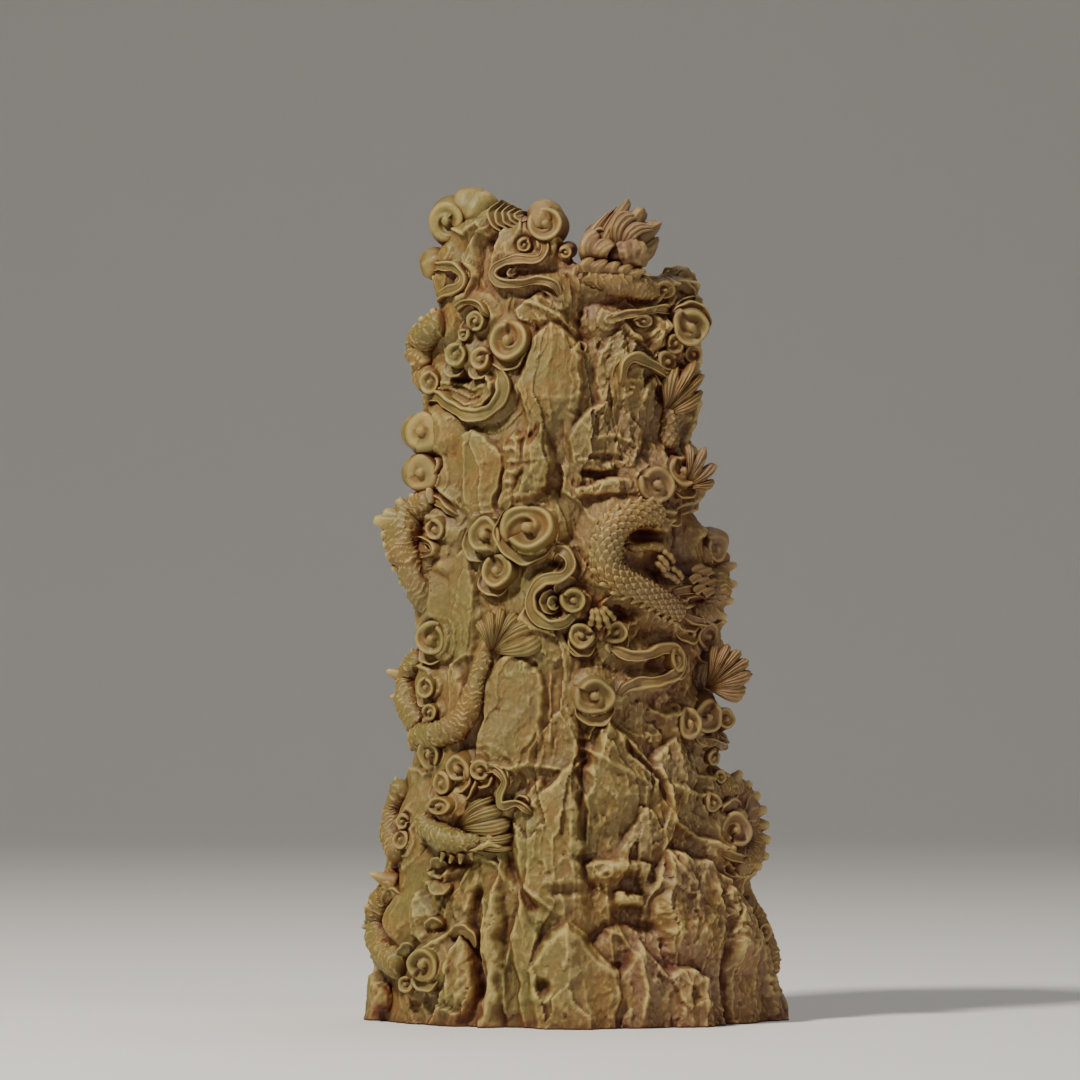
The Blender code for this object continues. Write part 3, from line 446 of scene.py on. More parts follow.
# %% Cloud scrolls
# Place, radius, how far it turns sideways and where its roll starts in degrees, which way it rolls as +1 or
# -1, and where they matter how wavy its rim is, how tall it is for its width, how deep its bowl is and how
# thick its rim is
SCROLLS = placed(seen, (
    ((-33.2, 201.2, 2.5), 5.4, 34, 320, -1, 0.02, 1, 0.8, 1.8), ((-8.2, 200.2, 4.2), 4.7, 0, 120, 1, 0.02),
    ((-13.5, 194.6, 2.6), 2, 0, 60, 1), ((-3.2, 192.8, 2.4), 1.8, -10, 200, -1),
    ((-25.8, 175.6, 3.4), 2.9, 0, 250, -1), ((-17.9, 170.9, 4.2), 5.4, 0, 95, -1, 0.03),
    ((-24.6, 166.3, 3.8), 3.1, 0, 30, 1), ((-30.8, 167.4, 4.4), 3.3, 12, 60, 1),
    ((-28.9, 172.3, 3.4), 1.8, 0, 60, -1), ((-37.4, 160.6, 4.4), 3.3, 30, 80, 1),
    ((-39.4, 148.2, 6.6), 5.7, 38, 250, 1, 0.06, 0.94, 0.24, 2.2),
    ((-39.6, 137.8, 6.4), 5.4, 38, 200, 1, 0.06, 0.94, 0.20, 2.2), ((-36.2, 123.6, 6.2), 2.9, 22, 130, -1),
    ((-12.7, 124.2, 4.8), 7.3, 0, 215, -1, 0.05, 0.84), ((-23.8, 122.2, 3.8), 4.9, 0, 300, 1, 0.07),
    ((-20.7, 113.5, 3), 4.7, 0, 120, -1, 0.05), ((-1.2, 106, 3.4), 3.4, 0, 150, 1),
    ((0.8, 97.4, 2.6), 3.5, 0, 20, -1, 0.05), ((9.7, 98.2, 2.8), 3, 0, 200, 1, 0.05),
    ((-37, 96.2, 4.4), 4.5, 30, 60, 1, 0.04), ((-38.4, 84, 4.6), 2.9, 20, 90, 1),
    ((-37.4, 77.9, 4.4), 2.4, 20, 200, 1), ((-37.5, 67.2, 3.9), 3.6, 15, 300, -1, 0, 1.15),
    ((-30.4, 63.9, 4), 3.7, 0, 300, 1, 0.05), ((-24.7, 63.6, 3.2), 2.9, 0, 330, 1, 0.05),
    ((-34.4, 60.2, 3.6), 3.2, 0, 120, -1, 0, 1, 0.6), ((-35, 54.8, 5.2), 3.9, 0, 180, 1, 0, 0.62, 0.7),
    ((-44.2, 50.4, 4), 2.2, 30, 0, 1), ((-44.7, 45.9, 3.8), 2.7, 30, 120, -1),
    ((-39.2, 15.2, 5.4), 4.5, 15, 230, 1, 0.04), ((-43.2, 10.2, 3.6), 2.4, 15, 60, -1),
    ((22, 183.4, 3.6), 3.4, 0, 200, -1, 0, 0.75), ((16.5, 175.5, 3.2), 2.9, 0, 180, -1, 0, 0.62, 0.7),
    ((28.6, 174.2, 7.4), 5, -32, 120, 1, 0.04), ((24.5, 170.2, 4.4), 2.8, -14, 210, 1),
    ((29, 167.6, 4.6), 2.8, -32, 300, 1), ((22.7, 165.6, 3.4), 3.4, 0, 20, -1, 0.05),
    ((5.4, 196.4, 3.2), 2.8, 0, 250, 1, 0.05), ((34.3, 66.4, 4.2), 2.2, -25, 40, 1),
    ((20, 134.9, 5.2), 5, -12, 150, 1, 0.03, 1, 0.7), ((26.8, 138.4, 6.2), 4.3, -28, 110, 1, 0.03),
    ((35.4, 118.9, 6.6), 3.9, -35, 140, -1, 0.05, 1, 0.6), ((32.9, 96.8, 4.6), 3.9, -20, 330, 1, 0.06),
    ((25.3, 91.4, 4), 2.5, 0, 90, 1, 0, 1.5), ((4.3, 82.2, 3.8), 5.4, 0, 150, 1, 0.07, 0.9, 0.9),
    ((28.3, 75.2, 4.4), 3.2, -22, 100, 1, 0.04, 1.4), ((33, 76.6, 4.8), 4.6, -32, 60, 1, 0.05),
    ((37.5, 76, 5.2), 3, -40, 200, -1, 0.03, 1, 0.7), ((40, 48.2, 5.6), 4.9, -36, 250, -1, 0.06),
    ((39.6, 57.4, 4.4), 2.5, -20, 30, -1), ((34.2, 55.2, 4), 2.6, -15, 100, 1, 0.05),
    ((43.6, 41.6, 4.4), 2.2, -30, 300, 1), ((36, 61.6, 3.8), 2, -20, 200, -1),
    ((47.4, 22.3, 3.8), 2.6, -35, 170, 1), ((49.4, 17.6, 3.2), 2, -40, 60, -1),
)) + placed(turned, (
    ((118, 104, 3), 5.5, 0, 200, 1), ((124, 96, 3), 3.8, 0, 80, -1), ((152, 170, 3), 6, 0, 250, 1),
    ((164, 164, 2.5), 4.2, 0, 20, -1), ((176, 78, 4), 6.2, 0, 300, 1), ((188, 70, 3.5), 4.4, 0, 120, -1),
    ((206, 120, 3.5), 5.8, 0, 240, -1), ((218, 128, 3), 4.2, 0, 50, 1), ((242, 176, 3), 5, 0, 190, 1),
    ((236, 60, 3.5), 5, 0, 330, 1),
))
print(len(SCROLLS), "scroll heads")

# %% Cloud ribbons
# Route and width
RIBBONS = routed(seen, (
    (((-8.2, 196.5), (-7.8, 193.4), (-9.6, 191), (-14.6, 191), (-18.4, 189.6), (-19.6, 187.3), (-18, 185.2),
      (-13.4, 185), (-9.4, 185.8), (-5.6, 184.6), (-4.4, 181.4)), 2.1),
    (((-34.2, 193.4), (-33.8, 190.4), (-31.2, 189.8), (-28.4, 189.4), (-26.6, 186.8), (-27.6, 184.2),
      (-31.2, 183), (-33.2, 180.8)), 2.3),
    (((-35.8, 156.2), (-32.8, 157.2), (-29.3, 154.4), (-24.8, 152.2), (-20.2, 153.5), (-17.6, 157.6),
      (-17.8, 161.5), (-19.8, 164.3)), 3.1),
    (((-38.2, 143.5), (-35.2, 140.7), (-32.2, 140.3), (-33.4, 136.6), (-33.6, 132.2), (-31, 129.6),
      (-28.2, 126.4)), 2.1),
    (((-6.2, 119.4), (-3, 117.8), (-1.9, 114.6), (-4, 111.9), (-8.2, 111), (-10.9, 107.6), (-10.6, 103),
      (-7.4, 100.1), (-3.4, 100.4), (-0.8, 102.8)), 2.7),
    (((7.6, 94.3), (11.4, 92.3), (15.6, 92.4), (19.6, 94), (22.6, 93.4), (23.9, 90.6), (22.3, 87.6),
      (18.5, 85.8), (14.5, 85.4), (11, 84.2), (9.4, 82)), 2.8),
    (((10.2, 159.8), (10.4, 164.6), (12.8, 166.6), (16.4, 165), (20.4, 162.6), (25, 162.8), (28.4, 164.8)),
     2.5),
    (((-22.4, 63.8), (-19.5, 64), (-17.2, 61.2), (-18.4, 57.6), (-17.8, 55), (-14.4, 55.6), (-11, 53)),
     1.9),
    (((7.6, 176), (10.4, 177.2), (14.5, 177.9), (18.4, 178.8), (21.2, 178.4)), 2),
    (((21.4, 177.6), (23.4, 180.6), (26.8, 181.6), (30, 180.2), (32.2, 177)), 1.8),
    (((22.5, 108, 2), (26.6, 108.6, 2), (30.2, 106.8, 2), (32.9, 104, 2), (31.8, 101, 2), (27.6, 100.6, 2),
      (24.3, 102.6, 2)), 2.3),
    (((-40.6, 119.8, 3), (-37.5, 121.2, 3), (-34.6, 120.4, 3), (-34, 118, 3), (-37.2, 116.8, 3),
      (-38, 114.8, 2.5), (-35.2, 114, 2), (-33.2, 115, 2)), 1.5),
    (((-28.6, 178.2, 1), (-26.2, 180.4, 1), (-23, 179.8, 1), (-21.4, 176.8, 1)), 1.5),
    (((30.4, 70.8, 1), (33.8, 69, 1), (37.2, 70.2, 1), (38.8, 73, 1)), 1.8),
    (((33, 43.2, 1), (37.4, 41.4, 2), (42, 40, 2), (46, 38.4, 1)), 2.2),
)) + routed(turned, (
    (((112, 112), (122, 118), (132, 112), (128, 104), (136, 98)), 2.8),
    (((160, 160), (172, 166), (182, 160), (178, 152), (188, 146)), 2.8),
    (((168, 72), (160, 66), (166, 58), (178, 60), (190, 62)), 2.8),
    (((214, 116), (226, 112), (236, 118), (246, 112)), 2.8),
))
RIBBON_OUT = 3.0          # how far a ribbon's middle stands out from the smooth column
print(len(RIBBONS), "ribbons")

# %% Dragon bodies
def shown(*row):
    """One body of the carved face, with its route found on the rock."""
    return routed(seen, (row,))[0]


# Route, radius at the start, the middle and the end, whether the scales lie along the route or back, and the
# kind of skin
MAIN_COIL = shown((
    (20.5, 127, 3.2), (16.4, 127.7, 4.2), (12.2, 126.6, 4.6), (8.7, 123.6, 4.6), (7.1, 119, 4.6),
    (7.4, 114.3, 4.4), (10.8, 110.8, 4.2), (15.8, 108.2, 4), (21, 105.2, 3), (25.5, 102, 2)),
    2.6, 3.9, 2.4, -1, "scales")
NECK = shown((
    (1.6, 187.4, 0), (5, 186.4, 1.8), (10, 185.4, 2.4), (15, 184.4, 2.4), (19.5, 183, 1)),
    2.4, 3.3, 2.4, 1, "ridges")
LEFT_SHOULDER = shown((
    (-33, 176.6, 1), (-36.2, 174.4, 2.5), (-38.4, 171, 3.2), (-39, 166.6, 3.2), (-38.2, 162.6, 2.6),
    (-35.5, 160.4, 1.5)), 3.2, 4.5, 3.2, -1, "ridges")
LEFT_COIL = shown((
    (-36, 130.6, 3), (-40.8, 128, 6), (-43.8, 124.2, 9), (-43.8, 119, 9), (-41.4, 113, 7),
    (-38.4, 107.5, 4), (-36, 103, 1)), 3.4, 4.5, 3, -1, "ridges")
LEFT_TAIL = shown((
    (-22.3, 93.3, 2.5), (-24.5, 88, 2.6), (-26, 83, 2.6), (-27.5, 77.3, 2.6), (-32, 73.5, 2.6),
    (-37, 72.3, 2.6), (-40.3, 71, 2)), 1.4, 2.8, 3.4, -1, "ridges")
LEFT_BEND = shown((
    (-39, 92, 2), (-42.4, 86, 4), (-42.4, 79.8, 4), (-39.5, 73.5, 2)), 2.6, 3.2, 2.8, -1, "ridges")
LOW_TAIL = shown((
    (-39.4, 52.2, 3), (-36.9, 48.4, 3.2), (-32.8, 46.4, 3.2), (-28.3, 45.8, 2.6), (-23.8, 46.4, 1)),
    2.6, 3, 1.6, 1, "ridges")
LOW_BEND = shown((
    (-43, 60, 2), (-45.8, 53.5, 3), (-46.3, 47.3, 3), (-44.5, 41, 2)), 2.8, 3.3, 2.8, -1, "ridges")
FOOT_COIL = shown((
    (-45, 36, 1), (-48.5, 29.8, 2), (-49.5, 23.5, 2), (-48.3, 17.3, 2), (-43.3, 14.5, 2)),
    3.4, 4, 3.2, -1, "ridges")
RIGHT_COIL = shown((
    (34, 58.5, 1), (39.7, 57.6, 3), (43.2, 53, 5), (43.9, 47, 5), (42.8, 41.2, 4), (38.5, 38.5, 2)),
    3.2, 3.8, 3.2, 1, "ridges")
RIGHT_BEND = shown((
    (30, 118, 2), (34.2, 114.4, 4), (34.6, 108.5, 5), (32.4, 103.5, 4), (28, 100.5, 2)),
    2.8, 3.6, 2.8, -1, "ridges")
ARM = shown((
    (11.4, 119.6, 3.6), (14.6, 119, 4.6), (18.4, 119.4, 5.2), (22, 118.6, 5.4)), 0.8, 1.1, 1.2, 1, "ridges")
SLIM_TAIL = shown((
    (25.5, 158.5, 2), (23.5, 153.5, 2), (22.5, 148.5, 2), (23, 143.5, 2)), 1.6, 2.2, 2.4, 1, "scales")
FOOT_TAIL = shown((
    (43, 31, 1), (46.5, 24.5, 2), (48.5, 18.3, 2), (49, 10.8, 1)), 2.4, 3, 2.6, 1, "ridges")
LEFT_DRAGONS = (LEFT_SHOULDER, LEFT_COIL, LEFT_TAIL, LEFT_BEND, LOW_TAIL, LOW_BEND, FOOT_COIL)
RIGHT_DRAGONS = (NECK, RIGHT_COIL, RIGHT_BEND, SLIM_TAIL, FOOT_TAIL)
SHOWN_DRAGONS = (MAIN_COIL, ARM) + LEFT_DRAGONS + RIGHT_DRAGONS
HIDDEN_DRAGONS = routed(turned, (
    (((104, 136, 1), (116, 142, 4), (130, 140, 5), (142, 132, 5), (150, 122, 4), (162, 116, 4),
      (174, 120, 3), (182, 128, 1)), 3, 4.8, 3.4, 1, "scales"),
    (((196, 100, 1), (208, 104, 4), (222, 102, 5), (234, 94, 5), (244, 86, 4), (254, 84, 1)), 3, 4.8, 3.4,
     1, "scales"),
    (((116, 62, 1), (128, 70, 4), (142, 70, 5), (154, 62, 5), (160, 52, 4), (168, 44, 1)), 3.2, 5, 3.4, 1,
     "scales"),
    (((192, 170, 1), (206, 176, 4), (220, 172, 5), (232, 162, 4), (244, 156, 3), (256, 158, 1)), 3, 4.4,
     3.2, 1, "scales"),
))
print(len(SHOWN_DRAGONS), "loops of dragon on the carved face and", len(HIDDEN_DRAGONS), "behind")

# %% [markdown]
# ## Noise for stone
#
# Carved rock is never smooth: its faces wander, its chisel cuts meet in ridges and its skin is pitted. A
# displacement modifier with a noise texture could do a part of that, but it wouldn't say where the edges are.
# So the noise is worked out here, in two kinds. Smooth noise bends things gently. Scattered centres give
# shallow bowls, which meet in a sharp ridge as a gouge's cuts do, and also tilted facets and small holes.

# %% Smooth noise
NOISE_SIDE = 32           # cells across the block of random values


def smooth_noise(points, cell, seed):
    """Random values from -1 to 1 that change smoothly from cell to cell, and are alike each run."""
    block = np.random.default_rng(seed).uniform(-1, 1, (NOISE_SIDE,) * 3)
    whole = np.floor(points / cell).astype(int)
    part = points / cell - whole
    ease = part * part * (3 - 2 * part)
    total = np.zeros(len(points))
    for corner in np.ndindex(2, 2, 2):
        weight = np.prod(np.where(corner, ease, 1 - ease), axis=1)
        i, j, k = ((whole + corner) % NOISE_SIDE).T
        total += weight * block[i, j, k]
    return total


def layered(points, *layers):
    """Smooth noise in layers, each given as its height, its cell and its seed."""
    return sum(height * smooth_noise(points, cell, seed) for height, cell, seed in layers)


print("smooth noise at three places:", smooth_noise(np.eye(3) * 5, 2.0, 1).round(2))

# %% Scattered centres
SCATTER_ROWS = 128        # rows of centres up the rock before they repeat
BOWL_SPREAD = 0.3         # how much the bowls' depths differ
TOO_FAR = 9.0             # a distance in cells that any centre beats


def nearest_centres(angle, z, around, cell_up, seed):
    """For each point, the squared distance to the nearest scattered centre in cells, that centre's own random
    value, and the height of a randomly tilted plane through it.

    Bowls of random depth are compared, so the nearest is the one whose bowl lies lowest there.
    """
    random = np.random.default_rng(seed).uniform(0, 1, (around, SCATTER_ROWS, 6))
    u, v = (angle / (2 * math.pi) + 0.5) * around, z / cell_up
    low_u, low_v = np.floor(u).astype(int), np.floor(v).astype(int)
    best = np.full(len(z), TOO_FAR)
    value, tilted = np.zeros(len(z)), np.zeros(len(z))
    for step in np.ndindex(3, 3):
        cell_u, cell_v = low_u + step[0] - 1, low_v + step[1] - 1
        own = random[cell_u % around, cell_v % SCATTER_ROWS]
        off_u, off_v = cell_u + own[:, 0] - u, cell_v + own[:, 1] - v
        apart = off_u ** 2 + off_v ** 2 + BOWL_SPREAD * own[:, 2]
        closer = apart < best
        plane = (own[:, 4] - 0.5) * off_u + (own[:, 5] - 0.5) * off_v + own[:, 3] - 0.5
        best = np.where(closer, apart, best)
        value = np.where(closer, own[:, 3], value)
        tilted = np.where(closer, plane, tilted)
    return best, value, tilted


print("distance to a centre:", nearest_centres(np.zeros(1), np.ones(1), 30, 6.5, 22)[0].round(2))

# %% [markdown]
# ## The rock
#
# The rock's relief is a height over the smooth column, worked out for every angle and height. Sculpting it by
# hand would be the other way, but a formula can be changed and run again. Crags are slabs with a pointed top
# that stand proud and fall away to their edges. Crevices are soft cuts along a line. The bed is the ground
# cut back round scrolls, ribbons and coils. The finer cuts come last, rougher on the right half, smoother on
# the left, as on the real rock.

# %% Where the crags and crevices are
# Place of the peak, height of the foot, reach to the left and right of the ridge, depth of the shoulders
# below the peak, how far it stands out, and how much its ridge leans
CRAGS = placed(seen, (
    ((-3.2, 27.5), -20, 12.5, 10.8, 13, 7, 0.05), ((15.5, 23), -20, 9, 8, 12, 4.5, -0.15),
    ((20.8, 45), 12, 3.5, 22, 9, 6.5, 0), ((33, 38), 12, 6, 11, 5, 7, 0),
    ((27, 17), -20, 10, 5.5, 6, 5, 0), ((41, 30), -20, 8, 9, 9, 4.5, 0.1),
    ((-29, 25.5), -4, 5.8, 3.6, 9, 4, 0), ((-21.5, 38), -20, 3.2, 3.2, 6, 4.5, 0),
    ((-50, 12), -20, 5, 6, 4, 4, 0), ((-38, 35), 14, 4.5, 4.5, 8, 2.4, 0.1),
    ((-14, 36), -20, 5, 5, 14, 2.5, 0.1), ((10, 42.3), 35, 9, 9, 1.5, 3.8, 0),
    ((12.3, 34.2), 29.5, 5.5, 5.5, 1.2, 3.4, 0), ((-1.5, 65.5), 20, 13.5, 3.6, 12, 4.5, 0),
    ((-9, 64), 30, 7, 6, 10, 2.5, 0), ((8, 76), 48, 6, 12, 14, 5, -0.15),
    ((18, 62), 40, 8, 7, 12, 3.5, -0.2), ((24, 74), 46, 8, 6, 8, 3, 0),
    ((-16, 92.5), 58, 6.5, 8.5, 8, 3.5, -0.05), ((-30, 90), 60, 5, 5, 8, 2.5, 0),
    ((-10, 108), 86, 8, 8, 10, 2, 0), ((-29, 118), 88, 6, 7, 10, 2.5, 0),
    ((-10.8, 152.5), 122, 3.2, 5.6, 9, 6, -0.12), ((-15.5, 149), 122, 3.4, 3, 5, 4, 0),
    ((-25, 150), 110, 9, 7.5, 8, 2.2, 0), ((-6.5, 176.5), 146, 7, 7.5, 7, 4.2, 0),
    ((6, 158), 134, 8, 13, 10, 2.5, 0), ((13, 178), 146, 9, 10, 10, 2, 0),
    ((3.5, 144.2), 139, 5.5, 6, 1.5, 3, 0), ((8, 136), 131, 8.5, 9, 2, 3, 0),
    ((-8, 184), 172, 6, 6, 4, 3.6, 0), ((-22, 200), 174, 5.5, 3.5, 12, 3.5, -0.35),
    ((-12, 203), 186, 9, 8, 5, 2.4, 0),
)) + placed(turned, (
    ((78, 62), 26, 9, 9, 12, 3.5, 0), ((95, 40), -20, 12, 10, 16, 4.5, 0.05),
    ((100, 118), 78, 9, 9, 14, 3, 0), ((97, 168), 128, 8, 9, 14, 3, 0), ((-97, 54), 10, 9, 9, 14, 3, 0),
    ((-110, 34), -20, 12, 12, 15, 5, 0), ((-100, 112), 72, 9, 9, 14, 3, 0),
    ((-100, 170), 134, 9, 8, 12, 3, 0), ((132, 54), -20, 14, 13, 18, 6.5, 0.1),
    ((160, 36), -20, 12, 14, 14, 5.5, 0), ((196, 46), -20, 13, 13, 18, 7, -0.1),
    ((228, 30), -20, 12, 12, 13, 5, 0), ((150, 96), 46, 11, 12, 18, 5, 0.1),
    ((184, 104), 50, 10, 12, 20, 6, 0), ((218, 88), 42, 12, 11, 16, 5, 0),
    ((128, 128), 88, 11, 10, 15, 4.5, 0), ((165, 150), 102, 12, 10, 18, 5.5, -0.1),
    ((205, 142), 98, 11, 12, 16, 5, 0), ((236, 128), 84, 11, 10, 14, 4, 0),
    ((140, 182), 138, 11, 11, 14, 5, 0), ((180, 196), 150, 11, 11, 16, 5, 0),
    ((222, 186), 142, 12, 10, 14, 5, 0),
))
# Route, depth and half width
CREVICES = routed(seen, (
    (((0.8, 196), (0.6, 183), (2, 172)), 4.5, 1.8), (((2.4, 96), (2, 84), (1.6, 66)), 3, 1.5),
    (((-24, 8), (-26.5, 22), (-25.5, 33)), 3, 1.5), (((-11, 30), (-17, 40), (-17.5, 60)), 2, 1.3),
    (((3, 22), (10, 27), (18, 25)), 2.5, 1.6), (((1.5, 137.6), (6, 137.2), (11, 138.3)), 3, 0.9),
    (((38, 0), (36.5, 14), (35, 26)), 3, 1.5),
))
print(len(CRAGS), "crags and", len(CREVICES), "crevices")

# %% How a crag and a crevice lie on the rock
EDGE_SLOPE = 1.7          # how steeply a crag's edges rise
FOOT_FADE = 0.35          # share of a crag's height over which its foot sinks into the rock
FLANK_FALL = 0.45         # share of a crag's height that is lost from its ridge to its edge
LIP = 0.3                 # how far a crag's rim curls up over its face
LIP_WIDTH = 1.1
PEAK_STEP = 0.6           # height of the step at the very peak
ARC_LIMIT = 90.0          # a step of a route that seems longer than this lies on the rock's other side


def arc_from(place, angle, z):
    """How far round the rock, in parts, each angle lies from a place."""
    _, half_width, half_depth = column(z)
    apart = np.remainder(angle - place[0] + math.pi, 2 * math.pi) - math.pi
    middle = place[0] + apart / 2
    return apart * np.hypot(half_width * np.cos(middle), half_depth * np.sin(middle))


def crag_rise(crag, angle, z, bend_across, bend_up):
    """How far one crag stands out at each point, and 0 outside it."""
    place, foot, left, right, shoulder, proud, lean = crag
    drop = place[1] - z - bend_up
    across = arc_from(place, angle, z) - lean * drop + bend_across
    reach = np.where(across < 0, left, right) * np.clip(drop / shoulder, 0, 1) ** 0.8
    from_edge = reach - np.abs(across)
    flank = proud * (1 - FLANK_FALL * np.abs(across) / np.maximum(reach, 1e-6))
    flank = flank + LIP * np.exp(-np.minimum(from_edge, drop) / LIP_WIDTH)
    rise = np.minimum(np.minimum(flank, EDGE_SLOPE * from_edge), PEAK_STEP + EDGE_SLOPE * drop)
    fade = np.clip((z - foot) / (FOOT_FADE * (place[1] - foot)), 0, 1)
    return np.where((drop > 0) & (from_edge > 0), rise * fade, 0.0)


def distance_to_route(route, angle, z):
    """How far each point of the rock lies from a line along it."""
    nearest = np.full(len(z), 1e9)
    for start, end in zip(route, route[1:]):
        from_start = np.stack((arc_from(start, angle, z), z - start[1]))
        from_end = np.stack((arc_from(end, angle, z), z - end[1]))
        along = from_start - from_end
        share = np.clip((from_start * along).sum(0) / (along * along).sum(0), 0, 1)
        same_side = np.abs(along[0]) < ARC_LIMIT
        nearest = np.minimum(nearest, np.where(same_side, np.hypot(*(from_start - along * share)), 1e9))
    return nearest


print("parts from the left to the right:", arc_from(seen(-30, 100), seen(30, 100)[0], 100.0).round(1))

# %% Swellings and hollows
# Place, reach round the rock and up, and how far it swells out or sinks in
SWELLINGS = placed(seen, (
    ((-36.5, 118), 16, 19, 8), ((-36.5, 148), 10, 9, 3.5), ((-36.5, 138), 9, 8, 3.5),
    ((-36, 168), 9, 12, 3.6), ((-33, 189), 9, 11, 2.6), ((-26, 202), 10, 9, 2.5), ((-8, 199), 7, 7, 2.4),
    ((-38, 83), 11, 15, 4.2), ((-41, 50), 12, 16, 4), ((-46, 24), 10, 14, 3), ((38, 48), 12, 15, 7),
    ((30, 110), 13, 16, 8), ((27, 177), 10, 13, 5), ((27, 136), 10, 10, 4.5), ((32, 76), 9, 9, 4),
    ((33, 91), 9, 10, 3), ((26, 155), 7, 12, 2.5), ((-20, 160), 9, 9, 1.5), ((-14.5, 101), 10, 8, 1.5),
    ((48, 20), 8, 12, 2), ((-30, 62), 10, 8, 1.6),
))
HOLLOWS = placed(seen, (
    ((-15.7, 187.8), 3.2, 2.4, 0.5), ((-30.4, 186.4), 2.8, 2.4, 0.4), ((-28.5, 162), 6.5, 1.9, 1.2),
    ((-36.5, 168.5), 2.6, 4, 2.6), ((15.8, 121.6), 5.6, 2.6, 4.5), ((10.8, 103.2), 6, 3.2, 3.2),
    ((-8.1, 10.4), 2.8, 2.6, 2.2), ((-48.5, 31), 4, 3.6, 2.8), ((36.6, 32.9), 5.6, 4.6, 2.4),
    ((12, 37.2), 7.5, 2.6, 2.6), ((12.2, 28.8), 6.5, 2.4, 2.2), ((-6.2, 105), 3.6, 4.6, 1.2),
    ((-4.6, 115.2), 2, 2.6, 1.6), ((-21, 195), 1.8, 3.2, 2.4), ((15.5, 170), 3.4, 3, 1.8),
    ((-3, 34.5), 7, 2.4, 1.6), ((19, 90), 3.4, 2.6, 1.8), ((-29.5, 41), 5.5, 2, 1.8),
    ((6.5, 141.5), 5, 1.6, 1.6), ((-26.5, 50), 5, 3, 1.6), ((29.5, 126), 3.4, 2.6, 2),
    ((-35, 107.5), 3, 3, 1.8), ((34, 66), 5, 3, 1.8), ((2, 52), 3, 5, 1.5),
))


def rounded(places, angle, z):
    """Soft round bulges added up."""
    total = np.zeros(len(z))
    for place, reach, up, height in places:
        near = np.abs(z - place[1]) < up
        far = (arc_from(place, angle[near], z[near]) / reach) ** 2 + ((z[near] - place[1]) / up) ** 2
        total[near] += height * np.clip(1 - far, 0, 1) ** 1.5
    return total


print(len(SWELLINGS), "swellings and", len(HOLLOWS), "hollows")

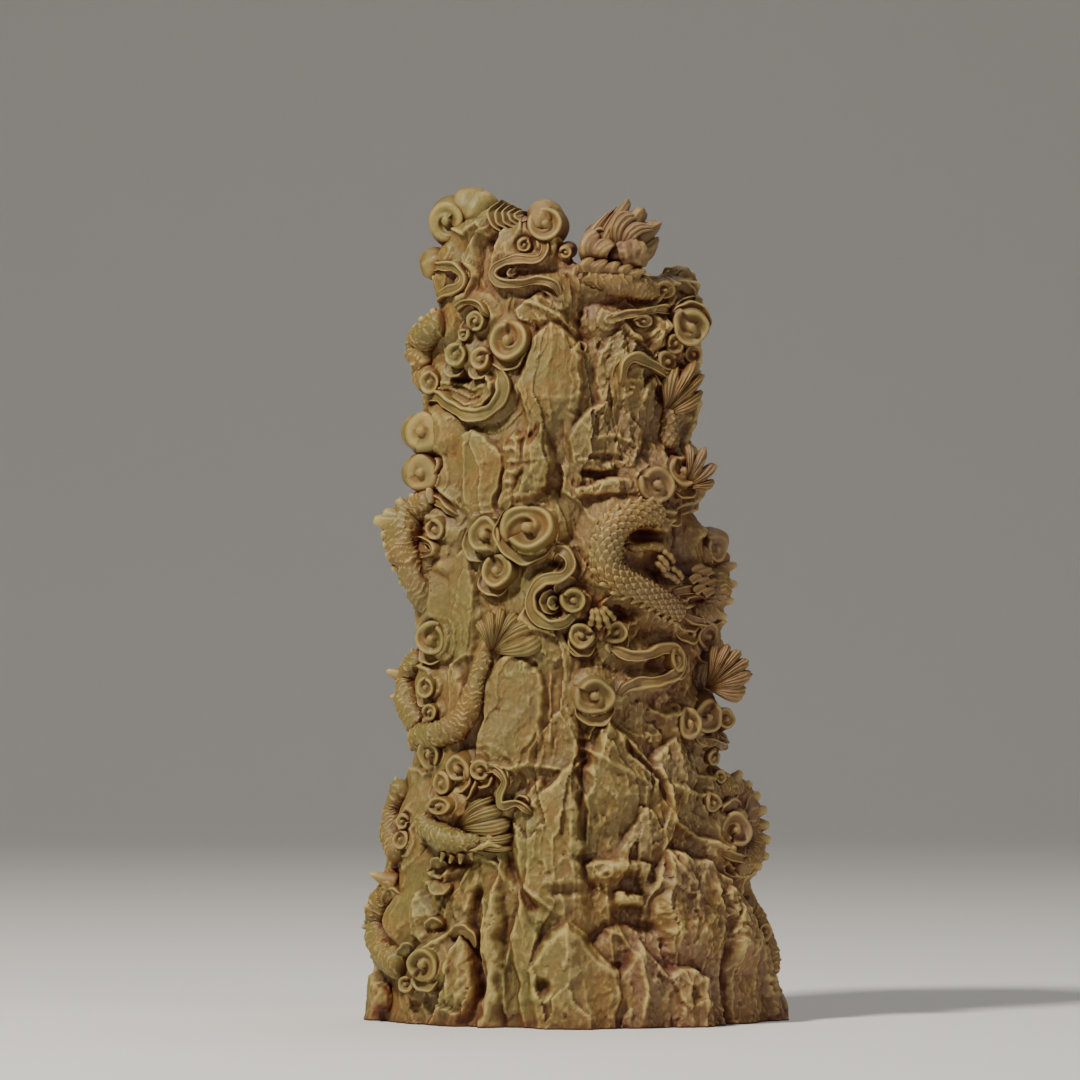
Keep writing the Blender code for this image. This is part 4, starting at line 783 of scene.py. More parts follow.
# %% Sharp folds
# Height and half width of a fold, and the routes of all that have them, as x and z seen from the carved face
FOLD_ROUTES = (
    (2.2, 1.1, (((12.4, 177.4), (16.6, 179.6), (20.2, 184.4), (24.8, 186.4), (28.6, 184)),)),
    (2.2, 1, (((-36.4, 16.8), (-34.2, 20.6), (-31.2, 23.6), (-28.6, 25.6), (-26.3, 23.6)), ((10.3, 73.5),
      (15, 68.2), (18.8, 63.4), (21.2, 59.5), (22.3, 51.8), (28.2, 47.1), (36, 42.4)))),
    (1.8, 0.8, (((15.6, 130.6), (18.6, 128.6), (23, 128.2), (27.4, 130.8)), ((-26, 65.8), (-21, 65),
      (-16.7, 63.4), (-12, 65.6), (-7, 65), (-2, 63.5), (2.7, 67.3)))),
    (1.7, 0.7, (((-35.4, 43.6), (-32, 42.9), (-28.3, 44), (-24.6, 43.9), (-21.1, 45.4), (-17.1, 43.8)),)),
    (1.6, 0.9, (((-1, 109.3), (1.8, 107.2), (4.3, 105.2)),)),
    (1.6, 0.7, (((-40.6, 119.8), (-37.5, 120.9), (-34.5, 120.2), (-34.2, 118.2), (-37.4, 117.2),
      (-38.3, 115.4), (-36.6, 114.3), (-34, 115.4)), ((-0.8, 69.8), (4.6, 67), (9.6, 64.4), (14, 61.6),
      (18, 58.4)), ((6, 178.2), (9.6, 176.2), (12.2, 172.4), (16.4, 170), (18.6, 165.4)), ((20.5, 44.8),
      (19.6, 40), (18.8, 36.2), (16.9, 28.5)), ((-2, 63.5), (1.2, 58), (2.7, 53.3), (2.2, 44)),
      ((-14.4, 181.6), (-8.6, 179.6), (-4, 176.8), (-1.4, 172.6)))),
    (1.5, 0.8, (((39.4, 43.4), (42.8, 41), (46, 40.6)),)),
    (1.5, 0.7, (((5.4, 25), (10.8, 23.2), (14.4, 17.6), (15.4, 10), (14.6, 1.3)), ((22.6, 105.2), (26, 107),
      (30, 106.6), (33.4, 104.6)), ((23.2, 103), (26.6, 104.6), (30.2, 104), (32.8, 102.2)), ((16.6, 128.2),
      (20, 126.4), (24.4, 126.4), (28.4, 128.6)), ((33.8, 38), (37.4, 36.8), (41.4, 37.8), (44.4, 35)),
      ((16.5, 61.6), (21, 60.2), (26, 58.4), (31.4, 57)), ((-14, 35.6), (-9, 32.2), (-5, 28.4)))),
    (1.4, 0.7, (((-22.4, 163.3), (-20.4, 160.5), (-20.3, 157.6), (-22.6, 155.2), (-25.4, 154.9)),
      ((-6.8, 118), (-4.4, 115.8), (-5.6, 113), (-10.2, 111.6)), ((19, 180.2), (22.6, 179.6), (26, 181.4)),
      ((24.2, 100.8), (27.4, 102.2), (30, 101.6), (32, 100)), ((-16.2, 24), (-18.4, 14), (-18, 3)))),
    (1.4, 0.6, (((31, 72.2), (34.4, 70.2), (38, 71.4)), ((9, 166), (12.2, 167.8), (13.2, 171)),
      ((-12.2, 150.4), (-12.7, 140), (-12.4, 130)), ((27.6, 113.6), (31, 115.4), (35, 114)))),
    (1.3, 0.7, (((-24.8, 33.4), (-22.6, 27), (-24, 16), (-23.4, 4)), ((-31.6, 200), (-27.6, 197.4),
      (-24.2, 200.4), (-21.4, 196.4), (-19.1, 192.8)))),
    (1.3, 0.6, (((-3.2, 27.4), (-0.6, 25), (1.6, 23.2), (4.6, 19), (7.5, 15)), ((-9.8, 7.6), (-7.6, 6.6),
      (-5.4, 8.2)), ((-38.6, 36.4), (-35.4, 34.2), (-31.4, 35.4)), ((-38.4, 39), (-34.8, 36.8),
      (-31, 38.4)), ((10.4, 181.2), (12.8, 178.6), (13.4, 175)), ((-40, 128.6), (-37, 126.6),
      (-33.6, 127.2)), ((-38.2, 91), (-35.6, 88.8), (-34.4, 85.6)), ((29.8, 36.6), (31.6, 31), (34, 27.4)),
      ((35.8, 52.4), (38.2, 54.4), (41.6, 53.6)), ((27.8, 63), (31.6, 61.2), (35.4, 62)))),
    (1.3, 0.5, (((-27.6, 67), (-26.2, 64.2), (-27.2, 61)),)),
    (1.2, 0.7, (((30.8, 18), (29, 10), (29.8, 2)),)),
    (1.2, 0.6, (((-38.6, 112.6), (-36, 113.4), (-33.6, 112.2), (-34, 109.8)), ((-9.4, 184.2), (-6.4, 182.4),
      (-4.4, 178.6)), ((28.4, 70), (32.6, 67.6), (36.6, 68.2)), ((18.6, 160.6), (21, 162.4), (24.8, 161.8)),
      ((-36.6, 81), (-34.2, 79), (-33.6, 76)), ((-31.2, 89), (-28.4, 91.4), (-25.2, 92.2)), ((20.6, 45),
      (22.4, 40), (26.2, 35.2), (27.6, 28)), ((0.6, 150.4), (4.2, 147.2), (9, 147.6), (13.6, 145)),
      ((17.8, 79.6), (21.4, 77.4), (24.6, 78.2)))),
    (1.2, 0.5, (((-24.7, 42.3), (-21.1, 40.6), (-18.4, 36.9)), ((-18, 146.2), (-15.4, 146.6), (-13.2, 146)),
      ((-18.2, 143.2), (-15.6, 143.8), (-13.4, 143)), ((-18, 140.4), (-15.4, 140.8), (-13.2, 140.2)),
      ((-18.4, 137.6), (-15.6, 137.8), (-13.4, 137)), ((-18.2, 134.6), (-15.4, 135), (-13.4, 134.2)))),
    (1.1, 0.7, (((-30, 22), (-31.6, 14), (-31, 5)), ((-18.4, 146.4), (-17.6, 137), (-18.6, 128)),
      ((-26.6, 146), (-27.4, 136), (-26.2, 128.6)))),
    (1.1, 0.6, (((9.4, 75), (14, 72.4), (19.6, 72.8)),)),
    (1.1, 0.5, (((-22.8, 67.4), (-21.6, 65.2), (-22.6, 62.4)), ((-41, 63.8), (-37.6, 62.2), (-34.8, 64)))),
    (1, 0.6, (((-11.4, 183), (-9, 180.6), (-7.6, 177.2)), ((-8.6, 150.2), (-7.4, 142), (-8, 134)),
      ((-3.8, 133.4), (0.6, 130.4), (3, 126)))),
    (1, 0.5, (((-34.5, 159.6), (-30.5, 159), (-26.5, 157.2), (-23, 157.8)), ((-34, 158.4), (-30.2, 157.4),
      (-27, 155.6), (-23.4, 156.2)), ((-27.4, 82.4), (-29, 78), (-32, 75.4), (-36.4, 74.4)))),
    (0.9, 0.7, (((-3.2, 27.4), (-2.6, 20), (-3.6, 14)),)),
    (0.9, 0.5, (((-7.3, 89), (-7.1, 78), (-7.4, 69)), ((-33, 160.8), (-29, 160.2), (-25.5, 159),
      (-22.5, 160.4)))),
)
FOLDS = routed(seen, [(route, *size) for *size, routes in FOLD_ROUTES for route in routes])
FOLD_REACH = 5.0          # how far above and below its ends a fold can still be felt
FOLD_SHARPNESS = 1.3


def folds(angle, z):
    """Thin raised folds: a sharp crest that falls away like a drawn-out wave."""
    total = np.zeros(len(z))
    for route, height, half_width in FOLDS:
        levels = [step[1] for step in route]
        near = (z > min(levels) - FOLD_REACH) & (z < max(levels) + FOLD_REACH)
        far = distance_to_route(route, angle[near], z[near])
        fade = np.ones(int(near.sum()))
        for end in (route[0], route[-1]):
            off = np.hypot(arc_from(end, angle[near], z[near]), z[near] - end[1])
            fade *= np.clip(0.25 + off / 3.0, 0, 1)
        total[near] = np.maximum(total[near], height * fade * np.exp(-(far / half_width) ** FOLD_SHARPNESS))
    return total


print(len(FOLDS), "folds")

# %% The bed round what stands on the rock
GROUND_DROP = 1.6         # how far the ground lies below a rim or an edge right beside it
CUT_SLOPE = 1.0           # how steeply the ground rises again further off
FILL_SLOPE = 0.8          # how steeply it falls where the rock lies deeper
BED_REACH = 9.0           # how far from a thing the ground is shaped to it
LAYER_WIDTH = 2.1         # width of the cloud layers round scrolls and ribbons
LAYER_HEIGHT = 0.9
MEAN = 0.45               # about the mean of layers, crests and bowls, taken off so that they cut both ways


def ground_limits(angle, z):
    """The lowest and the highest that the ground may be at each point, and how far it is from a cloud."""
    low, high, clear = np.full(len(z), -99.0), np.full(len(z), 99.0), np.full(len(z), 99.0)

    def meet(distance, heights, size, level, cloud):
        near = (z > min(heights) - size - BED_REACH) & (z < max(heights) + size + BED_REACH)
        away = distance(angle[near], z[near]) - size
        if cloud:
            clear[near] = np.minimum(clear[near], away)
        away = np.clip(away, 0, None)
        high[near] = np.minimum(high[near], level - GROUND_DROP + CUT_SLOPE * away)
        low[near] = np.maximum(low[near], level - GROUND_DROP - 0.5 - FILL_SLOPE * away)

    for place, radius, *_ in SCROLLS:
        meet(lambda a, h: np.hypot(arc_from(place, a, h), h - place[1]), [place[1]], radius * 0.92,
             place[2], True)
    for route, width in RIBBONS:
        meet(lambda a, h: distance_to_route(route, a, h), [p[1] for p in route], width / 2,
             RIBBON_OUT + max(p[2] for p in route) + 0.6, True)
    for route, _, middle, *_ in SHOWN_DRAGONS + HIDDEN_DRAGONS:
        meet(lambda a, h: distance_to_route(route, a, h), [p[1] for p in route], middle * 0.9,
             sum(p[2] for p in route) / len(route) + 1.4, False)
    return low, high, clear


def cloud_layers(base, clear):
    """Cloud that steps down away from a scroll in layers, each highest at its outer rim."""
    away = clear + 0.8 * smooth_noise(base, 3.2, 41)
    layer = np.mod(away / LAYER_WIDTH, 1.0)
    patchy = np.clip(0.55 + 1.7 * smooth_noise(base, 7.0, 42), 0, 1)
    fade = np.where(clear > 0, np.exp(-np.clip(clear, 0, 60) / 4.2), 0.0)
    return LAYER_HEIGHT * patchy * fade * (layer ** 1.4 - MEAN)


_, highest, _ = ground_limits(np.zeros(1), np.full(1, 105.0))
print("the ground in the middle of the face may rise to", highest.round(1))

# %% Rough and smooth stretches
# Place, reach round the rock and up, and how rough it is: 0 polished, 1 stony
STRETCHES = placed(seen, (
    ((-8, 164), 8, 11, 0.05), ((-25, 142), 9, 14, 0.25), ((-30, 108), 8, 8, 0.3), ((-16, 80), 9, 10, 0.45),
    ((-4, 18), 9, 10, 0.5), ((-20, 20), 6, 16, 0.35), ((10, 165), 8, 12, 0.8), ((12, 150), 12, 10, 1.2),
    ((10, 45), 14, 10, 0.9), ((32, 28), 9, 9, 1.5), ((25, 8), 12, 8, 1.2), ((27, 60), 8, 10, 1.3),
    ((-20, 52), 9, 8, 1.1), ((38, 12), 8, 12, 1.2), ((-33, 8), 9, 7, 1.1), ((-34, 28), 9, 12, 1.1),
))


def roughness_of(angle, z):
    """How stony each point is."""
    rough = 0.65 + 0.35 * np.clip(np.sin(angle) * 1.6, -1, 1)
    for place, reach, up, level in STRETCHES:
        near = np.exp(-(arc_from(place, angle, z) / reach) ** 2 - ((z - place[1]) / up) ** 2)
        rough += (level - rough) * near
    return rough


print("rough and smooth stretches:", len(STRETCHES))

# %% Chisel cuts and pits
def ridges(points, cell, seed):
    """Thin crests where smooth noise passes through nought."""
    return (1 - np.abs(smooth_noise(points, cell, seed))) ** 4


def craters(angle, z, around, cell_up, seed, chance, size, depth):
    """Small scattered holes with a slightly raised brim, where chance says so."""
    apart, own, _ = nearest_centres(angle, z, around, cell_up, seed)
    reach = size * (0.5 + 1.2 * np.mod(own * 57.0, 1.0))
    far = apart / reach
    return np.where(own < chance, depth * (0.4 + 0.6 * np.mod(own * 31.0, 1.0)), 0.0) * (
        0.38 * np.exp(-((np.sqrt(far) - 1.5) / 0.5) ** 2) - np.exp(-far))


def gouged(angle, z, bend_across, bend_up, stony, calm):
    """Broad slabs that lean, and the bowls and facets of the gouge on them."""
    bent_angle, bent_z = angle + bend_across * 0.02, z + 1.5 * bend_up
    slabs, _, leaning = nearest_centres(bent_angle, bent_z, 30, 24.0, 21)
    scoops, _, chopped = nearest_centres(bent_angle, bent_z, 52, 6.5, 22)
    return (calm * (0.9 * (slabs - MEAN) + 1.5 * leaning)
            + (0.12 + 0.30 * stony) * (scoops - MEAN) + 0.55 * stony * chopped)


def weathered(angle, z, base, bend_across, bend_up, stony):
    """Small chips, a fine unevenness, and holes that gather in places."""
    chips, _, flaked = nearest_centres(angle + bend_up * 0.01, z + bend_across, 100, 3.1, 23)
    rise = stony * (0.22 * (chips - MEAN) + 0.46 * flaked)
    rise += (0.2 + 0.8 * stony) * layered(base, (0.26, 1.9, 6), (0.20, 0.9, 7))
    gathered = np.clip(0.5 + 1.6 * smooth_noise(base, 7.0, 51), 0, 1)
    rise += craters(angle + 0.006 * bend_up, z + 0.5 * bend_across, 104, 2.2, 24,
                    0.10 + 0.75 * gathered * stony, 0.055, 0.85 * np.clip(stony, 0.25, 1.2))
    return rise + craters(angle - 0.008 * bend_up, z + 0.6 * bend_across, 50, 4.4, 25,
                          0.40 * gathered * stony, 0.045, 1.9)


print("ridge at one place:", ridges(np.ones((1, 3)), 2.0, 3).round(2))

# %% Relief
# Layers of noise that bend the crags sideways and up: height, cell and seed
BEND_ACROSS = ((2.2, 10.0, 1), (0.9, 3.8, 11), (0.3, 1.5, 16))
BEND_UP = ((2.2, 9.0, 2), (0.8, 3.4, 12), (0.3, 1.5, 17))
BLEND = 1.2               # parts over which the rock gives way to the cut ground


def great_forms(angle, z, bend_across, bend_up):
    """Crags and swellings, less the crevices."""
    rise = np.zeros(len(z))
    for crag in CRAGS:
        near = (z < crag[0][1] + 5) & (z > crag[1])
        one = crag_rise(crag, angle[near], z[near], bend_across[near], bend_up[near])
        rise[near] = np.maximum(rise[near], one)
    rise += rounded(SWELLINGS, angle, z)
    for route, depth, half_width in CREVICES:
        rise -= depth * np.exp(-(distance_to_route(route, angle, z) / half_width) ** 2)
    return rise


def relief(angle, z):
    """How far the carved rock stands out from the smooth column at each point."""
    base = on_rock(angle, z)
    bend_across, bend_up = layered(base, *BEND_ACROSS), layered(base, *BEND_UP)
    bent = base + np.stack((bend_across, -bend_across, 2 * bend_up), 1) * 0.8
    stony = roughness_of(angle, z)
    calm = np.clip(0.25 + stony, 0, 1)
    rise = great_forms(angle, z, bend_across, bend_up)
    for height, grain, seed in ((0.9 * calm, (6.0, 6.0, 30.0), 3), (0.40 * calm, (2.6, 2.6, 12.0), 33)):
        rise += height * (ridges(bent, np.array(grain), seed) - MEAN)
    rise += gouged(angle, z, bend_across, bend_up, stony, calm)
    low, high, clear = ground_limits(angle, z)
    rise = np.maximum(rise, low)
    blend = np.clip((rise - high) / BLEND + 0.5, 0, 1)
    rise = rise + (high - rise) * blend - 0.6 * blend * (1 - blend)
    rise += cloud_layers(base, clear)
    rise += folds(angle + bend_across * 0.008, z + 0.3 * bend_up) - rounded(HOLLOWS, angle, z)
    rise += (0.05 + 0.13 * stony) * (ridges(bent, np.array((1.1, 1.1, 9.0)), 34) - MEAN)
    return rise + weathered(angle, z, base, bend_across, bend_up, stony)


print("relief at three places:", relief(np.array((-0.5, 0.0, 0.5)), np.array((60.0, 100.0, 140.0))).round(1))

# %% [markdown]
# ### Making the rock's mesh
#
# The whole rock is one net of points that runs from the middle of the underside, up the wall and over the
# ragged top. It is cut into five wedges like an orange, so that no piece grows too large to handle, and each
# wedge is closed along the rock's inner line. The face that is looked at gets a finer net. The directions
# that light the surface are worked out on the whole net, so the joins between the wedges don't show.

# %% Ragged top
SKYLINE = np.array((
    (-38, 193), (-31, 201), (-20, 202.5), (-9, 201), (-4, 196), (-1, 190.5), (2, 188.5),
    (12, 188), (18, 186.5), (22, 188), (27, 188), (30, 184), (32, 179),
))
HIDDEN_SKYLINE = np.array((
    (-38, 184), (-30, 194), (-24, 199), (-15, 196), (-9, 197), (-3, 189), (7, 187), (14, 190), (22, 185),
    (32, 176),
))


def skyline(x, y):
    """Height of the ragged top over each point, from the carved face's to the hidden one's."""
    _, _, half_depth = column(211.0)
    share = np.clip((y / half_depth + 1) / 2, 0, 1)
    front, back = (np.interp(x, line[:, 0], line[:, 1]) for line in (SKYLINE, HIDDEN_SKYLINE))
    return front + (back - front) * share


print("top over the middle:", round(float(skyline(0.0, 0.0)), 1))

# %% Net of points
FACE_STRIPS = 150         # strips in each of the three wedges of the carved face
BACK_STRIPS = 46          # strips in each of the two hidden wedges
WALL_ROWS = 420
FOOT_ROWS = 4
CROWN_ROWS = 24
EDGE_PASSES, SWELL_PASSES = 5, 36    # how much the net is evened out to find edges, and to find swellings
CROWN_NOISE = ((3.0, 7.0, 4), (0.8, 2.5, 14), (0.3, 1.0, 15))
INSIDE = 0.05             # parts by which the net stays inside the CAD box
cuts = np.radians((-105, -35, 35, 105, 180, 255))
strips = (FACE_STRIPS, FACE_STRIPS, FACE_STRIPS, BACK_STRIPS, BACK_STRIPS)
angles = np.concatenate([np.linspace(a, b, n, endpoint=False) for a, b, n in zip(cuts, cuts[1:], strips)])


def softened(heights, passes):
    """Heights of the net evened out with their neighbours, so many times over."""
    for _ in range(passes):
        heights = (heights + np.roll(heights, 1, 1) + np.roll(heights, -1, 1)
                   + np.vstack((heights[:1], heights[:-1])) + np.vstack((heights[1:], heights[-1:]))) / 5
    return heights


def rock_net():
    """Points of the rock, row by row from the underside's middle to the crown's, and each point's value for
    pale edges and painted shade.
    """
    shape = (WALL_ROWS, len(angles))
    around = np.broadcast_to(angles, shape).ravel()
    share = np.repeat(np.linspace(0, 1, WALL_ROWS), len(angles))
    edge = on_rock(around, np.full(len(around), SKYLINE[:, 1].mean()))
    z = skyline(edge[:, 0], edge[:, 1]) * share
    out = relief(around, z)
    rock = on_rock(around, z, out).reshape(*shape, 3)
    raised = out.reshape(shape)
    fine, broad = (raised - softened(raised, passes) for passes in (EDGE_PASSES, SWELL_PASSES))
    # pale on ridges as rubbing and a painted highlight, painted shade in creases and broad hollows
    wear_and_shade = np.clip(2.2 * fine + 0.34 * broad, -1, 1)
    foot = rock[0] * np.linspace(0, 1, FOOT_ROWS, endpoint=False)[:, None, None] ** 0.7
    foot[..., 2] = 0.0
    inward = np.linspace(1, 0, CROWN_ROWS + 1)[1:, None] ** 0.8
    middle = column(195.0)[0]
    crown = np.empty((CROWN_ROWS, len(angles), 3))
    crown[..., 0] = middle + (rock[-1, :, 0] - middle) * inward
    crown[..., 1] = rock[-1, :, 1] * inward
    crown[..., 2] = skyline(crown[..., 0], crown[..., 1])
    rough = layered(crown.reshape(-1, 3), *CROWN_NOISE)
    crown[..., 2] += np.sin(math.pi * inward) * rough.reshape(crown.shape[:2])
    net = np.vstack((foot, rock, crown))
    for axis in (0, 1):
        low, high = cad_low[axis] / PART + INSIDE, cad_high[axis] / PART - INSIDE
        net[..., axis] = np.clip(net[..., axis], low, high)
    return net, np.vstack((np.zeros(foot.shape[:2]), wear_and_shade, np.full(crown.shape[:2], 0.2)))


net, net_wear_and_shade = rock_net()
print("rock net:", net.shape, "box", net.min((0, 1)).round(1), net.max((0, 1)).round(1))

# %% Wedges
UNDER_CROWN = 11.0        # how far the wedges' inner line stops below the ragged top


def net_normals(points):
    """Outward directions on the whole net."""
    up = np.gradient(points, axis=0)
    side = np.roll(points, -1, 1) - np.roll(points, 1, 1)
    normals = np.cross(side, up)
    length = np.linalg.norm(normals, axis=2, keepdims=True)
    normals = normals / np.maximum(length, 1e-9)
    normals[0], normals[-1] = (0, 0, -1), (0, 0, 1)
    return normals


def wedge(name, first, count):
    """One wedge of the rock, closed along the rock's inner line."""
    columns = np.arange(first, first + count + 1) % len(angles)
    face = net[:, columns]
    level = face[:, :, 2].mean(1)
    middle = column(level)[0] * 0.5
    lid = skyline(middle, 0.0) - UNDER_CROWN
    height = np.where(level > lid, lid + 0.02 * (level - lid), level)
    inner = np.stack((middle, np.zeros(len(net)), height), 1)
    inner[0], inner[-1] = face[0, 0], face[-1, 0]
    points = np.concatenate((inner[:, None], face, inner[:, None]), 1)
    index = np.arange(points.shape[0] * points.shape[1]).reshape(points.shape[:2])
    index[:, -1] = index[:, 0]
    index[0], index[-1] = index[0, 0], index[-1, 0]
    wear_and_shade = np.pad(net_wear_and_shade[:, columns], ((0, 0), (1, 1)))
    directions = np.pad(normals[:, columns], ((0, 0), (1, 1), (0, 0)))
    triangles, (points, wear_and_shade, directions) = sewn(index, points, wear_and_shade, directions)
    return piece(name, [(points, triangles, wear_and_shade)], ROCK_FINISH, directions)


WEDGES = ("rock_left", "rock_middle", "rock_right", "rock_back_right", "rock_back_left")
normals = net_normals(net)
start = 0
for name, count in zip(WEDGES, strips):
    wedge(name, start, count)
    start += count

# %% [markdown]
# ## Lines and rolled shapes
#
# Ribbons, coils and claws are all one thing to a maker: a section that follows a line over the rock. A
# bevelled curve has the same section all along, but here it swells and tilts. So a smooth line is drawn
# through a few places, the section is set up at each step of it, and the ends are closed.

# %% Lines over the rock
def smooth_line(knots, step):
    """Points an even step apart on a smooth line through the knots. A column more, a radius, goes along."""
    knots = np.asarray(knots, float)
    padded = np.vstack((2 * knots[0] - knots[1], knots, 2 * knots[-1] - knots[-2]))
    t = np.linspace(0, 1, 24, endpoint=False)[:, None]
    fine = []
    for a, b, c, d in zip(padded, padded[1:], padded[2:], padded[3:]):
        curve = (2 * a - 5 * b + 4 * c - d) * t ** 2 + (3 * b - a - 3 * c + d) * t ** 3
        fine.append(0.5 * (2 * b + (c - a) * t + curve))
    fine = np.vstack(fine + [knots[-1:]])
    along = np.concatenate(([0], np.cumsum(np.linalg.norm(np.diff(fine[:, :3], axis=0), axis=1))))
    steps = np.linspace(0, along[-1], max(3, int(round(along[-1] / step)) + 1))
    return np.stack([np.interp(steps, along, fine[:, i]) for i in range(fine.shape[1])], 1), steps


def frames_along(line):
    """Directions ahead, away from the rock and to the side at each point of a line."""
    ahead = np.gradient(line, axis=0)
    ahead /= np.linalg.norm(ahead, axis=1, keepdims=True)
    away = outward(line)
    away -= ahead * (away * ahead).sum(1, keepdims=True)
    away /= np.linalg.norm(away, axis=1, keepdims=True)
    return ahead, away, np.cross(ahead, away)


def closed_tube(rings, wear_and_shade):
    """A shape from rings of points, closed by a fan at both ends."""
    count, around, _ = rings.shape
    ends = np.stack((rings[0].mean(0), rings[-1].mean(0)))
    points = np.vstack((rings.reshape(-1, 3), ends))
    first, last = np.full(around, count * around), np.full(around, count * around + 1)
    ring = np.arange(around)
    beside = (ring + 1) % around
    top = (count - 1) * around
    caps = [np.stack((beside, ring, first), 1), np.stack((ring + top, beside + top, last), 1)]
    triangles = np.vstack([grid_triangles(count, around, True)] + caps)
    return points, triangles, np.concatenate((wear_and_shade.ravel(), [0.0, 0.0]))


def swept(line, sections, wear_and_shade):
    """Sections laid along a line. Their points are how far away from the rock and how far to the side."""
    _, away, side = frames_along(line)
    rings = line[:, None] + sections[..., 0:1] * away[:, None] + sections[..., 1:2] * side[:, None]
    return closed_tube(rings, wear_and_shade)


print("points on a bent line:", len(smooth_line(((0, 0, 0), (3, 0, 0), (3, 0, 4)), 1.0)[0]))

# %% [markdown]
# ## Cloud ribbons
#
# A ribbon of cloud has a thick rolled edge on one side, a thin one on the other and a channel between them,
# and it rolls a little from side to side as it runs. A bevelled curve can't keep such edges crisp, so its
# section is drawn point by point. Its foot reaches down into the rock.

# %% Ribbons
# Across the width as a share of the half width, height over the channel, and a value that is above nought on
# the pale edges, rubbing and a painted highlight, and below nought in painted shade in the channel
RIBBON_SECTION = np.array((
    (-1.16, -5.0, 0.0), (-1.06, -1.6, 0.0), (-1.06, -0.2, 0.3), (-1.00, 0.50, 0.9), (-0.84, 0.82, 1.0),
    (-0.62, 0.78, 0.7), (-0.46, 0.46, 0.0), (-0.30, 0.10, -0.4), (-0.05, 0.22, 0.0), (0.40, 0.20, 0.0),
    (0.66, 0.10, -0.3), (0.86, 0.46, 1.0), (0.98, 0.36, 0.9), (1.05, -0.2, 0.2), (1.06, -1.6, 0.0),
    (1.16, -5.0, 0.0),
))
RIBBON_STEP = 0.55


def ribbon(route, width, roll=0.34):
    """One band of cloud along a route, in parts wide. roll is how far it tilts from side to side."""
    line, along = smooth_line([on_rock(a, z, RIBBON_OUT + out) for a, z, out in route], RIBBON_STEP)
    share = along / along[-1]
    ends = np.clip(np.minimum(share, 1 - share) / 0.10, 0, 1) ** 0.6
    uneven = 1 + 0.13 * np.sin(along / 1.9 + route[0][1]) + 0.07 * np.sin(along / 0.8 + route[1][1])
    half = (width / 2 * uneven * (0.45 + 0.55 * ends))[:, None]
    across = RIBBON_SECTION[:, 0] * half
    height = RIBBON_SECTION[:, 1] + np.zeros_like(across)
    crest = height > -1
    height = np.where(crest, height * (0.3 + 0.7 * ends[:, None]), height)
    tilt = (roll * np.sin(along / 3.1 + route[0][1]))[:, None]
    swell = (0.22 * np.sin(along / 1.3 + route[-1][1]))[:, None]
    height += np.where(crest, across * tilt + swell - 2.2 * (1 - ends[:, None]), 0.0)
    return swept(line, np.stack((height, across), 2), RIBBON_SECTION[:, 2] * ends[:, None])


piece("cloud_ribbons", [ribbon(*each) for each in RIBBONS], CLOUD_FINISH)

# %% [markdown]
# ## Cloud scrolls
#
# A cloud ends in a rolled head: a thin uneven rim round a wide bowl, and in the bowl a ridge that comes off
# the rim like the tail of a comma and ends in a knob. A spiral of tube would leave the bowl out, so the whole
# head is a round net of points whose height is worked out from the distance to the rim and to the comma. Its
# outer side drops sheer into the rock.

# %% Frame of a head
def facing(place, sideways=0.0, nod=0.0):
    """Where a thing on the rock stands, and its directions: to the right, up and away."""
    origin = on_rock(*(np.float64(v) for v in place))
    away = outward(origin)
    turn, tip = math.radians(sideways), math.radians(nod)
    away = np.array((away[0] * math.cos(turn) - away[1] * math.sin(turn),
                     away[0] * math.sin(turn) + away[1] * math.cos(turn), 0.0))
    right = np.array((-away[1], away[0], 0.0))
    up = np.array((0.0, 0.0, 1.0))
    return origin, np.stack((right, up * math.cos(tip) - away * math.sin(tip),
                             away * math.cos(tip) + up * math.sin(tip)))


print("away from the rock at the middle of the face:", facing(seen(0, 100, 0))[1][2].round(2))

# %% Scroll heads
TURNS = 1.70              # turns of a rim from its outer end to the knob
KNOB = 0.23               # radius of the knob as a share of the head's
SKIRT = 5.5               # how far the outer side drops into the rock
SHOWN_CELL, HIDDEN_CELL = 0.42, 0.66    # size of the net's cells on the carved face and on the hidden side
FACE_ENDS = math.radians(105)           # how far round the carved face reaches


def rim_radius(turn):
    """Radius of the rim as a share of the head's, so many turns after its outer end."""
    inward = np.clip((turn - 1) / (TURNS - 1), 0, 1)
    return 1 - 0.18 * np.minimum(turn, 1.0) - (0.82 - 0.55 * KNOB) * inward ** 0.85


def rim_top(turn):
    """Height of the rim. Its outer end rises out of the ground."""
    return -1.7 * np.exp(-turn / 0.08) + 0.18 * np.minimum(turn, TURNS)


